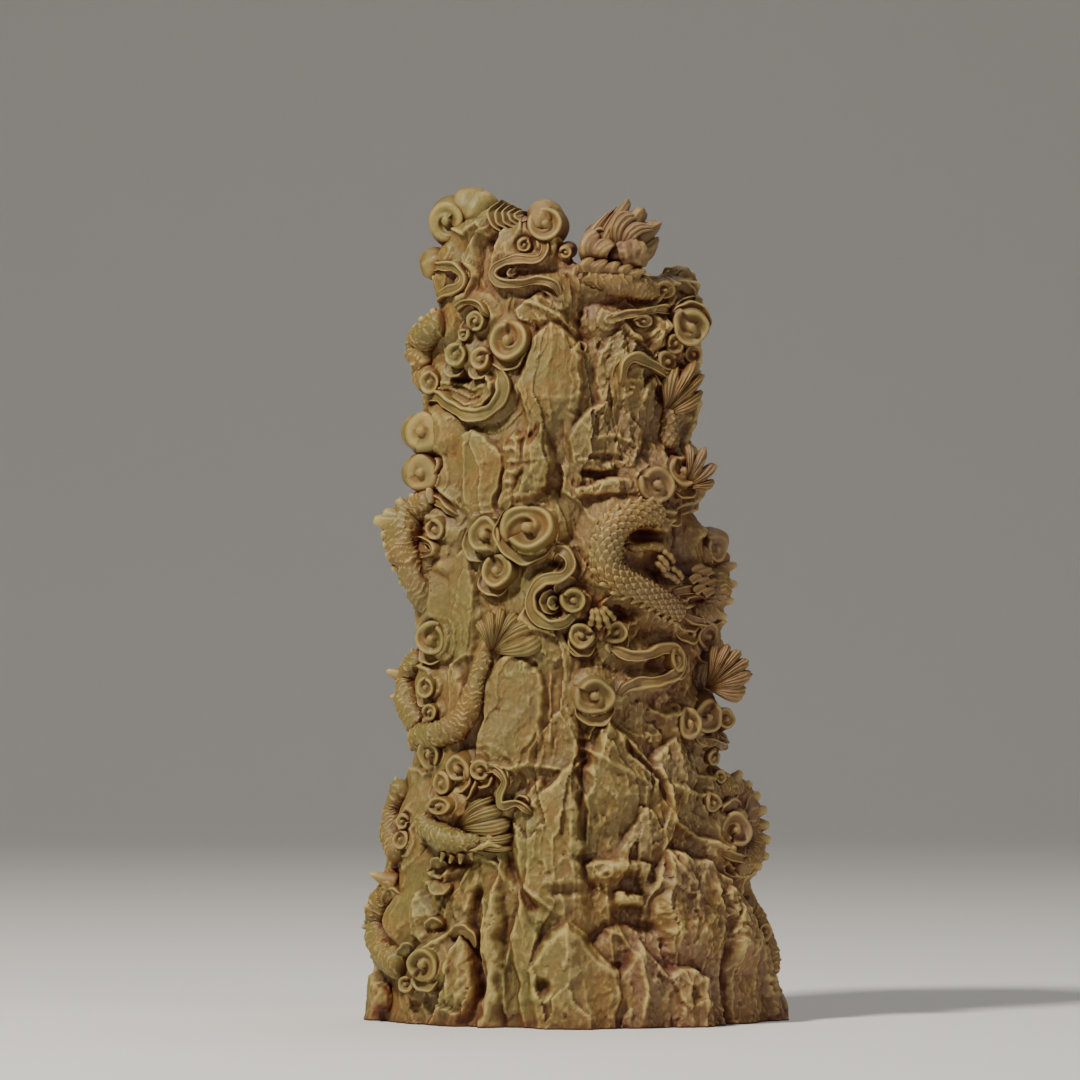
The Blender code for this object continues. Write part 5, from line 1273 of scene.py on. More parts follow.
def scroll_head(place, radius, sideways, start, hand, lobes=0.0, oval=1.0, depth=1.0, thick=1.0,
                cell=SHOWN_CELL):
    """A rolled cloud head as a round net: a thin rim round a bowl, and in it a comma that ends in a knob."""
    columns = max(30, int(round(2 * math.pi * radius / cell)))
    steps = max(11, int(round(radius / (0.72 * cell))))
    bearing = np.linspace(0, 2 * math.pi, columns, endpoint=False)
    turn = (hand * (bearing - math.radians(start)) / (2 * math.pi)) % 1.0
    wave = 1 + lobes * (0.25 * np.cos(5 * bearing + start) + 0.75 * np.cos(3 * bearing - start))
    outer, inner, knob = rim_radius(turn) * radius * wave, rim_radius(turn + 1) * radius, KNOB * radius
    deep = depth * (0.62 + 0.17 * radius)
    rim = thick * (0.26 + 0.054 * radius)
    top = min(depth, 1.0) * rim_top(turn) + 0.06 * radius * np.cos(bearing + start)
    top = top + 0.16 * np.cos(4 * bearing - start)
    r = (1 - np.linspace(0.95, 0, steps)[:, None] ** 1.3) * outer
    r[0] = 0.05 * radius
    from_crest = outer - r - rim
    bowl = 1 - np.exp(-(np.clip(from_crest, 0, None) / (1.1 * rim + 0.13 * radius)) ** 1.8)
    height = top * (r / outer) ** 2 - deep * bowl - 0.5 * rim * np.clip(-from_crest / rim, 0, 1) ** 2
    grown = np.clip(turn / (TURNS - 1), 0, 1)
    alive = np.clip(turn / 0.12, 0, 1) * (turn + 1 < TURNS + 0.06)
    width = radius * (0.08 + 0.11 * grown)
    comma = deep * (0.20 + 0.85 * grown) * alive * np.exp(-(np.abs(r - inner) / width) ** 2.0)
    height = height + comma
    dome = -0.18 * deep + 0.85 * knob * np.sqrt(np.clip(1 - (r / knob) ** 2, 0, 1))
    height = np.where(r < knob, np.maximum(height, dome), height)
    # pale on the rim and the comma as rubbing and a painted highlight; painted shade in the bowl inside the
    # rim and down the skirt
    wear_and_shade = 0.8 * np.exp(-(from_crest / (1.1 * rim)) ** 2) * np.clip(top + 1.3, 0, 1)
    wear_and_shade = wear_and_shade + 0.6 * comma / (1.1 * deep)
    wear_and_shade = np.where(r < knob, 0.45, wear_and_shade - 0.35 * np.exp(-((from_crest - 2.6 * rim) / (1.5 * rim)) ** 2))
    skirt = np.array((1.02, 1.05, 1.13, 1.34))[:, None] * outer
    shoulder = top - 0.5 * rim
    drop = np.stack((shoulder - 0.3, shoulder - 1.2, np.full(columns, -3.0), np.full(columns, -SKIRT)))
    r, height = np.vstack((r, skirt)), np.vstack((height, drop))
    wear_and_shade = np.vstack((wear_and_shade, 0.4 * wear_and_shade[-1:], np.full((3, columns), -0.2)))
    origin, axes = facing(place, sideways, 9.0 * math.sin(radius * 7 + start))
    local = np.stack((r * np.cos(bearing), oval * r * np.sin(bearing), height), 2)
    points, triangles, wear_and_shade = closed_tube(origin + local @ axes, np.clip(wear_and_shade, -1, 1))
    return points, triangles[:, ::-1], wear_and_shade


shapes = []
for each in SCROLLS:
    hidden = abs(each[0][0]) > FACE_ENDS
    shapes.append(scroll_head(*each, cell=HIDDEN_CELL if hidden else SHOWN_CELL))
piece("cloud_scrolls", shapes, CLOUD_FINISH)

# %% [markdown]
# ## Free rims of cloud
#
# Between the heads the carver left single thin crescents, often two or three inside each other, with a hollow
# behind each. A cut ring would end bluntly. So each is a section led round a part of a circle, which sinks
# away at both ends.

# %% Under-rims
# Across the rim from outside to inside in parts, height, and a value that is above nought on the pale rim,
# rubbing and a painted highlight, and below nought in painted shade in the hollow behind it
UNDER_SECTION = np.array((
    (0.30, -5.0, 0.0), (0.06, -1.6, -0.2), (0.04, -0.35, 0.3), (-0.12, 0.0, 1.0), (-0.40, 0.0, 0.9),
    (-0.75, -0.45, 0.1), (-1.30, -0.80, -0.4), (-2.1, -0.90, -0.3), (-2.9, -1.1, -0.2), (-3.2, -4.5, 0.0),
))
# Place of the middle, radius, the side it lies on and how far round it runs in degrees, and where it matters
# the turn sideways in degrees and how tall it is for its width
FREE_RIMS = placed(seen, (
    ((-13.6, 202.6, 2.4), 9.4, 212, 150, 0, 0.66), ((-13.6, 202.6, 2.9), 7.6, 212, 150, 0, 0.66),
    ((-13.6, 202.5, 3.3), 5.9, 212, 160, 0, 0.66), ((-13.6, 202.4, 3.7), 4.2, 212, 180, 0, 0.66),
    ((-13.6, 202.2, 4), 2.6, 212, 240, 0, 0.66), ((-6.2, 105.6, 2.4), 3.6, 185, 230),
    ((-5.6, 105.4, 2.8), 2.2, 190, 250), ((-4.6, 115.4, 2.6), 2.4, 60, 220),
    ((-15.4, 187.6, 2.2), 2.6, 180, 170, 0, 0.7), ((-30.2, 186.6, 2.2), 2.2, 20, 170, 0, 0.8),
    ((-12.9, 123.6, 3.6), 8.7, 235, 190), ((-24.6, 120.6, 2.6), 5.6, 215, 150),
    ((-21, 112.6, 2), 5.8, 250, 130), ((20.6, 133.2, 4), 5.9, 255, 150),
    ((21.4, 131.6, 3.2), 6.8, 262, 130), ((27.2, 136.4, 5), 5.2, 280, 130, -12),
    ((24, 129.8, 3.2), 5.6, 275, 120), ((28.2, 103.4, 4.4), 5.6, 250, 170, -12),
    ((28.6, 105.2, 4.8), 4.2, 245, 170, -12), ((28.4, 101.6, 3.6), 6.6, 258, 140, -12),
    ((33, 74.4, 3.8), 5.4, 265, 150, -20), ((33.2, 72.6, 3), 6, 268, 130, -20),
    ((28.4, 174.6, 6), 6.2, 80, 180, -32), ((26, 181, 2.6), 5.2, 70, 160, -24),
    ((26.4, 184.6, 0.6), 4.6, 60, 170, -10), ((22.2, 181.6, 2.8), 4.4, 250, 140),
    ((22.6, 163.6, 2.6), 4.4, 265, 160), ((40, 46.6, 4.8), 5.8, 262, 150, -22),
    ((39.8, 50.4, 4.8), 5.8, 110, 120, -22), ((36.2, 57.2, 3.4), 3.8, 230, 150, -15),
    ((4.4, 80.8, 2.8), 6.2, 268, 150), ((1, 96.4, 1.6), 4.6, 262, 160),
    ((9.8, 97.2, 1.8), 4, 285, 150), ((-2, 107.6, 2.4), 4.6, 120, 120),
    ((-30.6, 62.6, 3), 4.8, 300, 160), ((-30.8, 61.4, 2.4), 6.4, 315, 120),
    ((-24.6, 62.8, 2.4), 3.9, 310, 150), ((-35, 59.4, 2.8), 4.6, 250, 150),
    ((-35, 36.4, 3), 4, 262, 150, 10), ((-35.2, 38.6, 2.4), 3.4, 100, 140, 10),
    ((-37.4, 95, 3.4), 5.4, 265, 150, 20), ((-39, 82.8, 3.8), 3.8, 280, 150, 20),
    ((-38.6, 13.8, 4.2), 5.4, 262, 140), ((-42.6, 16.4, 3.4), 4.2, 120, 130, 15),
    ((-18.4, 169.4, 3.2), 6.3, 285, 140), ((-25.2, 165, 2.8), 4, 262, 150),
    ((-31.4, 165.8, 3.4), 4.2, 262, 150, 10), ((-26.6, 174.6, 2.4), 3.9, 215, 140),
    ((-40, 142.9, 5.6), 5.2, 262, 120, 34), ((-40.4, 132.8, 5.4), 4.8, 262, 120, 34),
    ((33, 94.8, 3.6), 4.9, 240, 160, -20), ((25.8, 89.6, 3.2), 3.6, 265, 150),
    ((35.8, 117.2, 5.4), 4.8, 250, 150, -35), ((-36.4, 121.8, 5.2), 3.9, 262, 150, 22),
    ((-47, 29.4, 2.6), 4.4, 95, 170, 30), ((-47, 28.8, 2), 3, 95, 190, 30),
    ((-29.6, 20.6, 2.8), 5, 70, 170), ((-36, 23.4, 2.4), 3.6, 110, 150, 10),
    ((-19.8, 61.8, 2.6), 2.8, 50, 170), ((-14.4, 55.2, 2.2), 2.6, 60, 170),
    ((10, 102.6, 2.6), 5.2, 96, 160), ((2.4, 97.2, 1.6), 5.4, 225, 130),
))


def under_rim(place, radius, side, span, sideways=0.0, oval=1.0):
    """A crescent of cloud: one thin rim with the hollow behind it, sinking away at both ends."""
    count = max(12, int(math.radians(span) * radius / 0.50))
    share = np.linspace(1, 0, count)
    ends = np.clip(np.minimum(share, 1 - share) / 0.30, 0, 1)[:, None] ** 0.7
    bearing = np.radians(side + span * (share - 0.5))[:, None]
    wavy = radius * (1 + 0.025 * np.cos(5 * bearing + radius) + 0.02 * np.cos(9 * bearing + side))
    r = np.maximum(wavy - 1.1 * (1 - ends) + UNDER_SECTION[:, 0] * (0.4 + 0.6 * ends), 0.2)
    level = UNDER_SECTION[:, 1]
    height = level - 1.6 * (1 - ends) * (level > -3) + 0.15 * np.cos(4 * bearing + side)
    origin, axes = facing(place, sideways)
    rings = origin + np.stack((r * np.cos(bearing), oval * r * np.sin(bearing), height), 2) @ axes
    return closed_tube(rings, UNDER_SECTION[:, 2] * ends)


piece("cloud_under_rims", [under_rim(*each) for each in FREE_RIMS], CLOUD_FINISH)

# %% [markdown]
# ## Dragon bodies
#
# The dragons show only as loops of body. A body is a tube whose skin carries scales: each lies over the next
# like a roof tile and is highest at its round free edge. Laid out along and round the body, the scales are a
# brick pattern, and every point only needs the distance to the free edge of the scale that covers it. The
# inner side of a bend has broad belly plates. The side in the rock is drawn out into a web, so that no gap
# opens behind a loop.

# %% Scales
def scale_height(along, around, pitch):
    """Height of overlapping scales, and their value for pale free edges, which are rubbing and a painted
    highlight, and for a painted shade under each overlap. along is a length, and around counts scales.
    """
    row = np.floor(along / pitch)
    nearest = np.full(along.shape, 9.0)
    crown = np.zeros(along.shape)
    for step in (-2, -1, 0, 1):
        each = row + step
        shift = np.mod(each, 2) / 2
        offset = (around - shift - np.round(around - shift)) * 2
        edge = (each + 1.15 * np.sqrt(np.clip(1 - offset ** 2, 0, 1))) * pitch
        left = edge - along
        closer = (left >= 0) & (left < nearest)
        nearest = np.where(closer, left, nearest)
        crown = np.where(closer, 1 - offset ** 2, crown)
    share = np.clip(nearest / (1.7 * pitch), 0, 1)
    rubbed_and_lit = 1.3 * np.exp(-((nearest / (0.24 * pitch)) ** 2)) * (0.4 + 0.6 * crown)
    wear_and_shade = rubbed_and_lit - 0.6 * np.clip(share * 2 - 1, 0, 1)
    return (1 - share) ** 1.2 * (0.60 + 0.40 * crown), wear_and_shade


def ridge_height(along, bearing, pitch):
    """Height of wavy cross ridges, and their value for pale crests, rubbing and a painted highlight, and for
    a painted shade at the foot of each crest, for a body that shows no single scales.
    """
    shifted = along / pitch + 0.45 * np.sin(2.3 * bearing + 0.35 * along)
    shifted = shifted + 0.22 * np.sin(6.1 * bearing - 0.9 * along)
    part = np.mod(shifted, 1.0)
    crest = part ** 1.8
    broken = 0.72 + 0.28 * np.sin(3.7 * bearing + np.floor(shifted) * 2.4)
    return crest * broken, 1.2 * np.clip((part - 0.72) * 4, 0, 1) * broken - 0.5 * np.clip(1 - part * 5, 0, 1)


print("scale height in the middle of a row:", scale_height(np.array([0.5]), np.array([0.0]), 1.6)[0].round(2))

# %% Bodies
BODY_STEP = 0.36
DENSE_HALF = 122          # degrees to each side of the outside over which the net is dense
RIDGE_PITCH = 1.45
BODY_LUMPS = ((0.20, 4.2, 61), (0.10, 1.9, 62))


def body_line(dragon, step):
    """The line of a body with its radius, and the lengths along it."""
    route, start, middle, end, *_ = dragon
    last = len(route) - 1
    radii = np.interp(np.arange(last + 1), (0, last / 2, last), (start, middle, end))
    knots = [np.append(on_rock(np.float64(a), z, out), r) for (a, z, out), r in zip(route, radii)]
    return smooth_line(knots, step)


def body_turn(ahead, away):
    """+1 for a body that bends anticlockwise as seen from outside the rock, and -1 for a clockwise one."""
    return float(np.sign((np.cross(ahead[:-1], ahead[1:]) * away[:-1]).sum()))


def dragon_body(dragon, step=BODY_STEP, pitch=1.35, wide=2.1, lifted=0.55, drawn_out=0.65):
    """The tube of one body with its scales or ridges, and belly plates on a scaled one."""
    *_, lay, skin = dragon
    line, along = body_line(dragon, step)
    line, radius = line[:, :3], line[:, 3]
    ahead, away, side = frames_along(line)
    bend = body_turn(ahead, away)
    widest = radius.max()
    dense = np.linspace(-DENSE_HALF, DENSE_HALF, int(round(math.radians(2 * DENSE_HALF) * widest / step)))
    bearing = np.radians(np.concatenate((dense, np.linspace(DENSE_HALF, 360 - DENSE_HALF, 8)[1:-1])))
    round_end = np.sqrt(np.clip(1 - (1 - np.minimum(along, along[-1] - along) / 2.0).clip(0, 1) ** 2, 0, 1))
    turned_in = np.abs(np.remainder(bearing + math.pi, 2 * math.pi) - math.pi)
    web = 1 + drawn_out * np.clip((turned_in - 1.9) / 1.24, 0, 1) ** 1.5
    r = radius[:, None] * web * (0.15 + 0.85 * round_end[:, None])
    lengthwise = np.broadcast_to(lay * along[:, None], r.shape)
    if skin == "scales":
        count = round(2 * math.pi * widest / wide)
        around = np.broadcast_to(bearing / (2 * math.pi) * count, r.shape)
        lift, wear_and_shade = scale_height(lengthwise, around, pitch)
        belly = np.abs(np.remainder(bearing + bend * math.radians(98) + math.pi, 2 * math.pi) - math.pi)
        on_belly = np.clip((math.radians(40) - belly) / 0.12, 0, 1)[None, :]
        plate = np.mod(lengthwise / (1.15 * pitch), 1.0)
        lift = lift * (1 - on_belly) + 1.1 * plate ** 1.5 * on_belly
        # pale rims of the belly plates: rubbing and a painted highlight
        wear_and_shade = wear_and_shade * (1 - on_belly) + np.clip((plate - 0.8) * 5, 0, 1) * on_belly
    else:
        lift, wear_and_shade = ridge_height(lengthwise, bearing + np.zeros(r.shape), RIDGE_PITCH)
        spoke = np.cos(bearing)[:, None] * away[:, None] + np.sin(bearing)[:, None] * side[:, None]
        lumpy = layered((line[:, None] + r[..., None] * spoke).reshape(-1, 3), *BODY_LUMPS)
        r = r * (1 + lumpy.reshape(r.shape))
    shown = np.clip((2.3 - turned_in) / 0.25, 0, 1)
    r = r + lifted * lift * shown * round_end[:, None]
    sections = np.stack((r * np.cos(bearing), r * np.sin(bearing)), 2)
    return swept(line, sections, np.clip(wear_and_shade * shown * round_end[:, None], -1, 1))


main_coil = dragon_body(MAIN_COIL, step=0.27, pitch=1.55, wide=2.05, lifted=0.70, drawn_out=0.12)
piece("dragon_main_coil", [main_coil, dragon_body(ARM, step=0.3, lifted=0.2)], DRAGON_FINISH)
piece("dragons_left", [dragon_body(each) for each in LEFT_DRAGONS], DRAGON_FINISH)
piece("dragons_right", [dragon_body(each) for each in RIGHT_DRAGONS], DRAGON_FINISH)
piece("dragons_back", [dragon_body(each, 0.6, 1.6, 2.3, 0.7) for each in HIDDEN_DRAGONS], DRAGON_FINISH)

# %% [markdown]
# ## Fins and spines
#
# Large blunt fins break the outline where a coil turns at the edge, small spines run along the outer side of
# some bends, and a few teeth show at the lower left. All are short fluted cones whose foot is buried in the
# body or the rock. A cone from Blender's own menu is straight, and these have hollow flanks.

# %% Cones
def horn(foot, tip, base, end, around=14, steps=8):
    """A ridged thorn from foot to tip, with hollow flanks and a blunt end."""
    share = np.concatenate((np.linspace(0, 0.93, steps), (0.97, 0.99, 1.0)))
    radius = end + (base - end) * (1 - share) ** 1.1
    radius[-3:] = end * np.array((0.9, 0.6, 0.2))
    way = (tip - foot) / np.linalg.norm(tip - foot)
    across = np.cross(way, (0.0, 1.0, 0.0) if abs(way[1]) < 0.9 else (1.0, 0.0, 0.0))
    across /= np.linalg.norm(across)
    other = np.cross(way, across)
    bearing = np.linspace(0, 2 * math.pi, around, endpoint=False)
    flutes = 0.13 * np.cos(5 * bearing + 9 * foot[2])
    fluting = 1 + flutes[None, :, None] * np.sin(math.pi * share)[:, None, None]
    rings = (foot + (tip - foot) * share[:, None])[:, None] + fluting * radius[:, None, None] * (
        np.cos(bearing)[None, :, None] * across + np.sin(bearing)[None, :, None] * other)
    # pale towards the tip: rubbing and a painted highlight
    return closed_tube(rings, np.repeat((share ** 2 * 0.9)[:, None], around, 1))


# For each body, every fin on it: how far along the route in points, direction as seen in degrees, length from
# the body's middle, and radius of its foot and its tip
FINS = (
    (LEFT_COIL, ((0.2, 92, 4.4, 2.4, 1), (0.9, 104, 4.8, 2.8, 1.1), (1.4, 124, 5.9, 3, 1.1),
      (1.7, 158, 6.6, 3.8, 1.3), (1.9, 170, 8, 4.2, 1.1), (2.4, 176, 5.8, 3.2, 0.9),
      (2.8, 184, 5.3, 2.6, 0.8), (3.2, 188, 5.1, 2.6, 0.8), (3.7, 192, 4.8, 2.4, 0.8),
      (4.3, 196, 4.5, 2.2, 0.8))),
    (LEFT_BEND, ((1, 160, 6.2, 3, 0.5), (1.7, 182, 4.8, 2.2, 0.5))),
    (LEFT_SHOULDER, ((0.5, 120, 4.2, 2.2, 0.8), (1.1, 140, 4.6, 2.4, 0.8), (1.8, 155, 4.6, 2.4, 0.8),
      (2.6, 178, 4.4, 2.2, 0.8))),
    (FOOT_COIL, ((0.2, 160, 7, 3, 0.5), (1.3, 172, 5.2, 2.4, 0.5), (2, 182, 5.2, 2.2, 0.5))),
    (RIGHT_COIL, ((0.7, 52, 6.2, 3.2, 0.8), (1.2, 36, 5.4, 2.8, 0.8), (1.7, 26, 5.7, 3, 0.9),
      (2.2, 12, 5.9, 3, 0.9), (2.7, 2, 5.8, 3, 0.9), (3.2, -6, 5.8, 3, 0.9), (3.8, -14, 5.6, 2.8, 0.8),
      (4.3, -22, 5.2, 2.6, 0.8))),
    (RIGHT_BEND, ((0.6, 32, 6.2, 2.8, 0.7), (1.2, 14, 6.4, 2.8, 0.7), (1.8, 2, 5.8, 2.8, 0.7),
      (2.4, -10, 5.6, 2.6, 0.7), (3, -22, 5.4, 2.6, 0.7))),
)


def fin(dragon, at, direction, length, base, end):
    """A blunt fin on a body."""
    low = int(at)
    first, second = (on_rock(*(np.float64(v) for v in dragon[0][i])) for i in (low, low + 1))
    foot = first + (second - first) * (at - low)
    way = np.array((math.cos(math.radians(direction)), 0.0, math.sin(math.radians(direction))))
    return horn(foot, foot + way * length, base, end)


def spines(dragon, gap=2.5, height=1.5):
    """A row of small spines along the outer side of a bend."""
    line, along = body_line(dragon, 0.3)
    ahead, away, side = frames_along(line[:, :3])
    bend = body_turn(ahead, away)
    made = []
    for at in np.arange(2.5, along[-1] - 2.0, gap):
        i = int(np.searchsorted(along, at))
        bearing = bend * math.radians(68)
        way = away[i] * math.cos(bearing) + side[i] * math.sin(bearing)
        skin = line[i, :3] + way * line[i, 3]
        lean = ahead[i] * dragon[4] * 0.9
        made.append(horn(skin - way * 1.4 - lean, skin + way * height + lean, 1.6, 0.3, 8, 4))
    return made


# Foot and tip as x, z and how far out, then the radius of the foot
TEETH = (
    ((-31.2, 42.6, 3.8), (-32, 40.6, 3.2), 0.9), ((-29, 43, 3.8), (-29.4, 40.4, 3.2), 1),
    ((-26.8, 43.2, 3.8), (-26.2, 41.4, 3.2), 0.8), ((-38.6, 44.8, 4.4), (-39.8, 42, 4), 1.1),
    ((-33.4, 43.4, 4.2), (-34.2, 40.8, 3.8), 0.9),
)
shapes = [fin(dragon, *each) for dragon, row in FINS for each in row]
for dragon in (MAIN_COIL, LEFT_BEND, LOW_BEND) + HIDDEN_DRAGONS:
    shapes += spines(dragon)
shapes += [horn(on_rock(*seen(*foot)), on_rock(*seen(*tip)), base, 0.3, 10, 5) for foot, tip, base in TEETH]
piece("dragon_fins", shapes, DRAGON_FINISH)

# %% [markdown]
# ## Flame hair
#
# Manes and tail tufts fan out like flames. The carver leaves a thick leaf, cuts it back between the tips and
# combs it with grooves. Hair made lock by lock would show gaps at the root. So the lines of the locks only
# guide one closed sheet, which is round over each lock and finely fluted.

# %% Combed sheets
MANE_ROWS = 26            # points along each lock


def mane(lines, radii, outwards, notch=0.26, flutes=4, columns=18):
    """Locks side by side as one sheet: round over each lock, finely fluted, and cut back between the tips."""
    count = len(lines)
    across = np.linspace(-0.48, count - 0.52, columns * count)
    left = np.clip(np.floor(across).astype(int), 0, count - 2)
    part = (across - left)[:, None]
    tip = 1 - notch * (1 - np.abs(np.cos(math.pi * across))) ** 1.5
    tip = tip - 0.03 * (1 - np.abs(np.cos(3 * math.pi * across)))
    up = np.linspace(0, 1, MANE_ROWS)[:, None]
    reached = up * tip * (MANE_ROWS - 1)
    low = np.clip(np.floor(reached).astype(int), 0, MANE_ROWS - 2)
    ahead = (reached - low)[..., None]
    beside = [lines[which, low] * (1 - ahead) + lines[which, low + 1] * ahead for which in (left, left + 1)]
    middle = beside[0] * (1 - part) + beside[1] * part
    own = np.clip(np.round(across), 0, count - 1)
    radius = np.interp(across, np.arange(count), radii)
    body = np.clip((1 - up) / 0.16, 0, 1) ** 0.5 * (0.15 + 0.85 * np.clip(up / 0.4, 0, 1) ** 0.7)
    comb = flutes * math.pi * across + 0.8 * np.sin(3 * up + 2 * own)
    flute = 0.65 * np.abs(np.cos(comb)) + 0.35 * np.abs(np.cos(2.3 * comb + own))
    crown = np.abs(np.cos(math.pi * across)) ** 0.35
    uneven = 0.35 * np.mod(own * 0.618 + 0.3, 1.0)
    rise = radius * body * (0.45 + 0.40 * crown + uneven - 0.30 * (1 - flute) ** 1.3)
    front = middle + rise[..., None] * outwards
    back = middle - (0.7 * radius * body)[..., None] * outwards
    rings = np.concatenate((front, back[:, ::-1]), 1)
    index = np.arange(rings.shape[0] * rings.shape[1]).reshape(rings.shape[:2])
    index[0] = index[0, 0]
    index[-1, len(across):] = index[-1, :len(across)][::-1]
    # pale on the crests of the flutes as rubbing and a painted highlight, painted shade in the grooves and
    # between the locks
    wear_and_shade = np.clip(0.75 * flute ** 3 * crown - 0.5 * (1 - flute) - 0.5 * (1 - crown) ** 2, -1, 1)
    wear_and_shade = np.concatenate((wear_and_shade, np.zeros(wear_and_shade.shape)), 1)
    triangles, (points, wear_and_shade) = sewn(index, rings, wear_and_shade, closed=True)
    spread = np.cross(middle[12, -1] - middle[12, 0], middle[-1, len(across) // 2] - middle[0, 0]) @ outwards
    return points, triangles if spread > 0 else triangles[:, ::-1], wear_and_shade


# %% Fans
# Root, how far the fan turns sideways in degrees, how deep it is cut between the tips, then each lock's
# direction in degrees, length, thickness and curl in degrees
FANS = placed(seen, (
    ((-22.2, 93, 4.2), 20, 0.14, ((114, 8.6, 1.7, 18), (94, 10.4, 1.8, 10), (75, 11.6, 1.9, 8),
      (56, 12, 1.9, -4), (35, 13.8, 1.8, -14), (15, 13.8, 1.6, 26))),
    ((22.5, 152.5, 3), -35, 0.26, ((78, 12.4, 2, -8), (62, 16, 2.4, -6), (45, 14.4, 2.2, -6),
      (26, 11.4, 1.9, 8))),
    ((27, 134, 5), -40, 0.34, ((80, 11.2, 2, 6), (58, 12, 2.2, -8), (32, 10.6, 2.1, 0), (10, 8.4, 1.8, 8))),
    ((33.2, 84, 5), -50, 0.12, ((78, 11.4, 1.9, -8), (62, 12.4, 2.1, -6), (46, 12.8, 2.2, -6),
      (31, 12.8, 2.2, -4), (13, 12.2, 2, 4), (-8, 10, 1.7, 10))),
    ((-31.6, 49, 3.4), 20, 0.14, ((50, 10.4, 1.5, -12), (40, 13.6, 1.7, -14), (24, 14.6, 1.7, -12),
      (10, 15.4, 1.6, 14))),
    ((-30.4, 47, 3.2), 20, 0.18, ((2, 14.6, 1.5, 20), (-10, 15.2, 1.6, 22), (-22, 12.6, 1.5, 24),
      (-38, 9, 1.3, 22))),
)) + placed(turned, (
    ((178, 126, 3), 0, 0.3, ((120, 11, 1.9, 12), (92, 13, 2.1, 0), (66, 13, 2.1, -6), (38, 11, 1.9, -12))),
    ((164, 46, 3), 0, 0.3, ((-20, 10, 1.8, 10), (4, 12, 2, 6), (28, 12, 2, -4), (54, 10, 1.8, -8))),
))


def lock_line(origin, axes, direction, length, curl):
    """The line of one lock: it leaves the root, bows outward and curls at its tip."""
    share = np.linspace(0, 1, MANE_ROWS)
    way = np.radians(direction + curl * (2.2 * share ** 2 - 0.6) + 5 * np.sin(4 * share + length))
    run = length / (MANE_ROWS - 1) * np.stack((np.cos(way), np.sin(way)), 1)
    flat = np.vstack(((0, 0), np.cumsum(run[:-1], 0)))
    out = 1.4 * np.sin(math.pi * np.clip(share * 1.05, 0, 1)) - 2.4 * (1 - share) ** 3
    return origin + flat[:, :1] * axes[0] + flat[:, 1:] * axes[1] + out[:, None] * axes[2]


shapes = []
for root, sideways, notch, locks in FANS:
    origin, axes = facing((root[0], root[1], root[2] - 1.0), sideways)
    lines = np.array([lock_line(origin, axes, way, length, curl) for way, length, _, curl in locks])
    shapes.append(mane(lines, [each[2] for each in locks], axes[2], notch))
piece("flame_hair", shapes, CLOUD_FINISH)

# %% [markdown]
# ## Finial
#
# The highest point is a spray of leaf-shaped blades, and rows of small leaves lie under it and on the right
# bend. They are the same combed sheets. Here each lock gets its own places, because the blades show sharply
# against the background and have to follow the real outline.

# %% Finial
# How deep each sheet is cut between the tips, how many flutes a lock has, and each lock's thickness and
# places from root to tip as x, z and how far out
SHEETS = (
    (0.20, 1, ((2.4, (3.6, 189, 0.4), (2.8, 194, 1), (4.6, 199, 1.6), (7.4, 202.6, 1.6), (9.6, 204.4, 1)),
      (2.6, (6.8, 189, 0.4), (7.2, 196, 1.8), (9.6, 202, 2.4), (12.6, 206.7, 1)),
      (2.6, (9.6, 189, 0.4), (11, 196, 2.6), (13.6, 200.8, 3), (16.6, 204.2, 1.6)),
      (2.4, (12, 188, 0.2), (14.6, 194.6, 2.6), (17.8, 198, 2.8), (21.2, 200.6, 1.4)),
      (2.2, (13.6, 187, -0.4), (16, 191.4, 1.2), (18.6, 194, 1.4), (20.4, 196, 0.6)))),
    (0.24, 3, ((1.9, (9.4, 194, 3.4), (9.6, 198.2, 5), (11.6, 201.4, 5.2), (14.4, 202.6, 4)),
      (1.9, (11.6, 193.4, 3.6), (13.2, 197.2, 5.2), (15.8, 199.2, 5), (18.6, 199.4, 3.6)))),
    (0.20, 1, ((1.7, (2.2, 190.6, 2.6), (1.8, 193, 4.2), (2.8, 195.8, 4.6), (4.6, 198.4, 3.4)),
      (1.7, (5.4, 190.4, 3), (5.6, 192.4, 4.8), (6.6, 194.4, 5.2), (8.4, 196, 4.2)))),
    (0.30, 1, ((1.2, (1.6, 187.6, 3.4), (1.8, 189.6, 4.6), (3.4, 191.6, 4)),
      (1.2, (4.6, 187.2, 3.8), (5, 189.4, 5), (6.8, 191.2, 4.4)),
      (1.2, (7.6, 186.8, 3.8), (8.2, 188.8, 5), (10, 190.6, 4.4)),
      (1.2, (10.6, 186.2, 3.8), (11.4, 188.2, 5), (13.2, 189.8, 4.4)),
      (1.2, (13.6, 185.4, 3.6), (14.4, 187.4, 4.8), (16.4, 188.6, 4.2)))),
)
SEEN_FACE = np.array((0.0, -1.0, 0.0))
# Small leaf plates on the right bend, as x and z
PLATES = ((32, 113.8), (34.2, 113), (31.4, 111.6), (33.6, 110.8), (35.8, 110.2), (32.4, 109), (34.8, 108.2))


def even_line(knots):
    """A smooth line through the knots with as many points as every lock has."""
    line, _ = smooth_line(knots, 0.2)
    at = np.linspace(0, len(line) - 1, MANE_ROWS)
    return np.stack([np.interp(at, np.arange(len(line)), line[:, axis]) for axis in range(3)], 1)


def leaf(x, z):
    """One small leaf plate that points down to the left."""
    lines = []
    for side in (0, 1):
        steps = ((0.0, 0.0, 6.6), (-1.6, -0.5, 6.3), (-3.0, -1.6, 6.0))
        knots = [on_rock(*seen(x + dx - 0.7 * side, z + dz + 0.9 * side, out)) for dx, dz, out in steps]
        lines.append(even_line(knots))
    return mane(np.array(lines), [0.8, 0.8], SEEN_FACE, 0.05, 1, 7)


